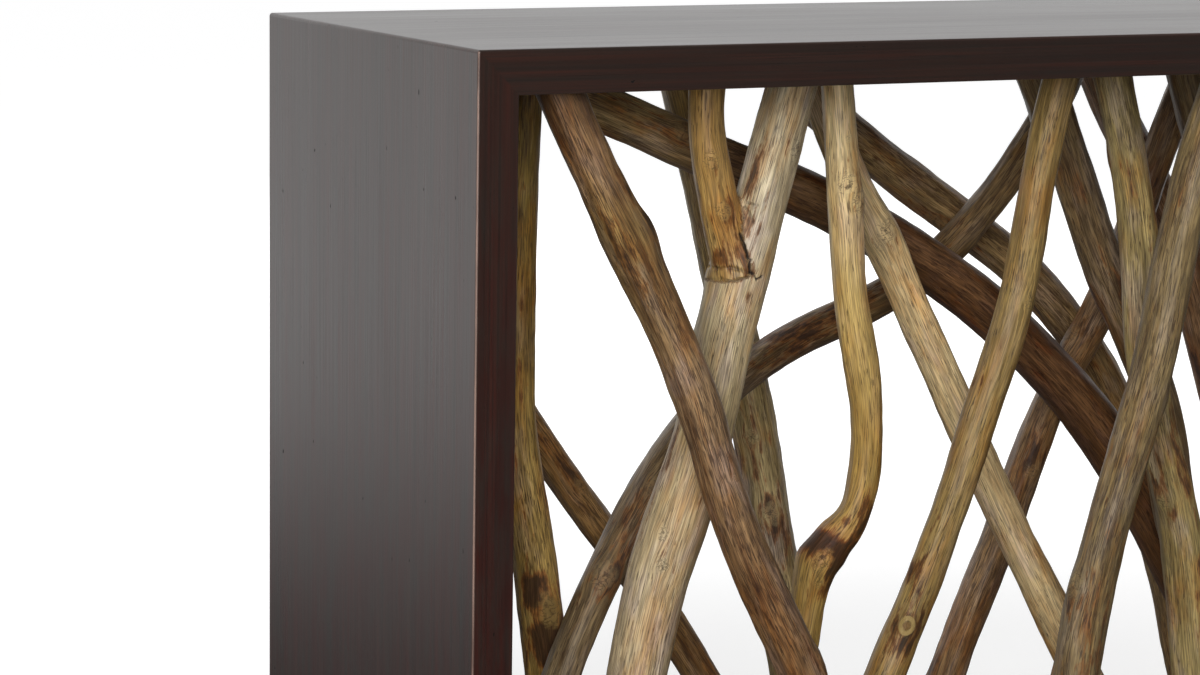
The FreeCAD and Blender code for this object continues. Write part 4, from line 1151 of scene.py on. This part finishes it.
def behind_table(nodes, low, high):
    """Rises from 0 in front of the table to 1 behind it."""
    return nodes.ramp(nodes.add("SeparateXYZ", {0: nodes.place()})["Y"], low, high)


def floor_material(studio):
    """A pale floor that keeps the shadow and fades to white behind the table."""
    made, nodes, shader = new_material("pale_floor", studio.floor)
    camera, mirrored = ray_kinds(nodes)
    distance = nodes.vector("LENGTH", nodes.place())["Value"]
    white = nodes.times(nodes.ramp(distance, 0.9, 3.8), behind_table(nodes, -0.6, 0.8))
    clear = nodes.times_plus(nodes.ramp(distance, 0.7, 1.9), 0.28, 0.64)
    nodes.feed(shader.inputs, {
        "Base Color": nodes.mix(camera, dimmed(studio.floor, 0.3), studio.floor),
        "Roughness": 0.9,
        "Specular IOR Level": 0.0,
        "Emission Color": WHITE,
        "Emission Strength": nodes.plus(nodes.times(camera, clear), nodes.times(mirrored, white)),
    })
    return made


def lay_floor(scene, studio):
    """A round floor, wide enough to reach the horizon."""
    bm = bmesh.new()
    bmesh.ops.create_circle(bm, cap_ends=True, segments=FLOOR_SIDES, radius=FLOOR_RADIUS)
    mesh = bpy.data.meshes.new("floor")
    bm.to_mesh(mesh)
    bm.free()
    mesh.materials.append(floor_material(studio))
    floor = bpy.data.objects.new("floor", mesh)
    scene.collection.objects.link(floor)


def set_world(scene, studio):
    """Soft light from all round, and white behind the table for the camera and for reflections."""
    scene.world = bpy.data.worlds.new("studio")
    scene.world.use_nodes = True
    nodes = Nodes(scene.world.node_tree)
    camera, mirrored = ray_kinds(nodes)
    reflected = nodes.mix(behind_table(nodes, -0.2, 0.6), DIM, WHITE)
    light = nodes.mix(mirrored, studio.ambient, reflected)
    nodes.feed(nodes.tree.nodes["Background"].inputs, {"Color": nodes.mix(camera, light, WHITE)})


def set_camera(scene, studio):
    """Put the camera where the photograph was taken from."""
    lens = bpy.data.cameras.new("camera")
    lens.lens = studio.lens
    lens.sensor_width = SENSOR_WIDTH
    lens.clip_end = CAMERA_REACH
    camera = bpy.data.objects.new("camera", lens)
    turn = (Matrix.Rotation(-studio.yaw, 4, "Z") @ Matrix.Rotation(math.pi / 2 + studio.pitch, 4, "X")
            @ Matrix.Rotation(studio.roll, 4, "Z"))
    camera.matrix_world = Matrix.Translation(studio.eye) @ turn
    scene.collection.objects.link(camera)
    scene.camera = camera


# Operators

class BRANCHTABLE_OT_boards(bpy.types.Operator):
    """Build the four mitred boards of the frame"""
    bl_idname = "branch_table.boards"
    bl_label = "Frame Boards"

    def execute(self, context):
        finish = context.scene.table_frame
        ring = frame_ring(finish)
        for number, side in enumerate(MITRES):
            bm = board_mesh(ring, side, number, finish.arris)
            new_piece("stained_%s_board" % side, bm, side + "_board")
        ring.free()
        return {"FINISHED"}


class BRANCHTABLE_OT_branches(bpy.types.Operator):
    """Build the branches that have no fork"""
    bl_idname = "branch_table.branches"
    bl_label = "Branches"

    def execute(self, context):
        for name in BRANCHES:
            if name not in PRONGS:
                plain_branch(name, context.scene.table_branches)
        return {"FINISHED"}


class BRANCHTABLE_OT_forks(bpy.types.Operator):
    """Build the two forked branches"""
    bl_idname = "branch_table.forks"
    bl_label = "Forked Branches"

    def execute(self, context):
        for name in PRONGS:
            forked_branch(name, context.scene.table_branches)
        return {"FINISHED"}


class BRANCHTABLE_OT_small_parts(bpy.types.Operator):
    """Finish the dowels, splines, glides and nails, which keep their CAD shapes"""
    bl_idname = "branch_table.small_parts"
    bl_label = "Dowels, Splines, Glides"

    def execute(self, context):
        for name, node in frame["nodes"].items():
            if SLOT_OF[name] in SMALL_PARTS:
                node.data.materials.clear()
                node.data.materials.append(material_for(SLOT_OF[name]))
        return {"FINISHED"}


class BRANCHTABLE_OT_studio(bpy.types.Operator):
    """Lay the floor, hang the lamps and set the camera"""
    bl_idname = "branch_table.studio"
    bl_label = "Studio"

    def execute(self, context):
        scene = context.scene
        studio = scene.table_studio
        scene.view_settings.view_transform = "Standard"
        lay_floor(scene, studio)
        for name, (size, spot, shows) in LAMPS.items():
            soft_lamp(name + "_lamp", getattr(studio, name + "_power"), size, spot, shows)
        set_world(scene, studio)
        set_camera(scene, studio)
        return {"FINISHED"}


class BRANCHTABLE_PT_sidebar(bpy.types.Panel):
    """Steps and settings of the console table"""
    bl_label = "Console Table"
    bl_idname = "BRANCHTABLE_PT_sidebar"
    bl_space_type = "VIEW_3D"
    bl_region_type = "UI"
    bl_category = "Console Table"

    def draw(self, context):
        for operator in OPERATORS:
            self.layout.operator(operator.bl_idname)
        for holder in SETTINGS:
            group = getattr(context.scene, holder)
            for key in group.__annotations__:
                self.layout.prop(group, key)


SETTINGS = {"table_frame": FrameFinish, "table_branches": BranchFinish, "table_small_parts": SmallPartFinish,
            "table_studio": StudioSettings}
OPERATORS = (BRANCHTABLE_OT_boards, BRANCHTABLE_OT_branches, BRANCHTABLE_OT_forks, BRANCHTABLE_OT_small_parts,
             BRANCHTABLE_OT_studio)
CLASSES = (*SETTINGS.values(), *OPERATORS, BRANCHTABLE_PT_sidebar)


def register():
    """Add the classes, and the settings to the scene."""
    for made in CLASSES:
        bpy.utils.register_class(made)
    for holder, group in SETTINGS.items():
        setattr(bpy.types.Scene, holder, bpy.props.PointerProperty(type=group))


def unregister():
    """Take the settings and the classes away again."""
    for holder in SETTINGS:
        delattr(bpy.types.Scene, holder)
    for made in reversed(CLASSES):
        bpy.utils.unregister_class(made)


def main():
    """Build every piece in order."""
    register()
    bpy.ops.branch_table.boards()
    bpy.ops.branch_table.branches()
    bpy.ops.branch_table.forks()
    bpy.ops.branch_table.small_parts()
    bpy.ops.branch_table.studio()


if __name__ == "__main__":
    main()
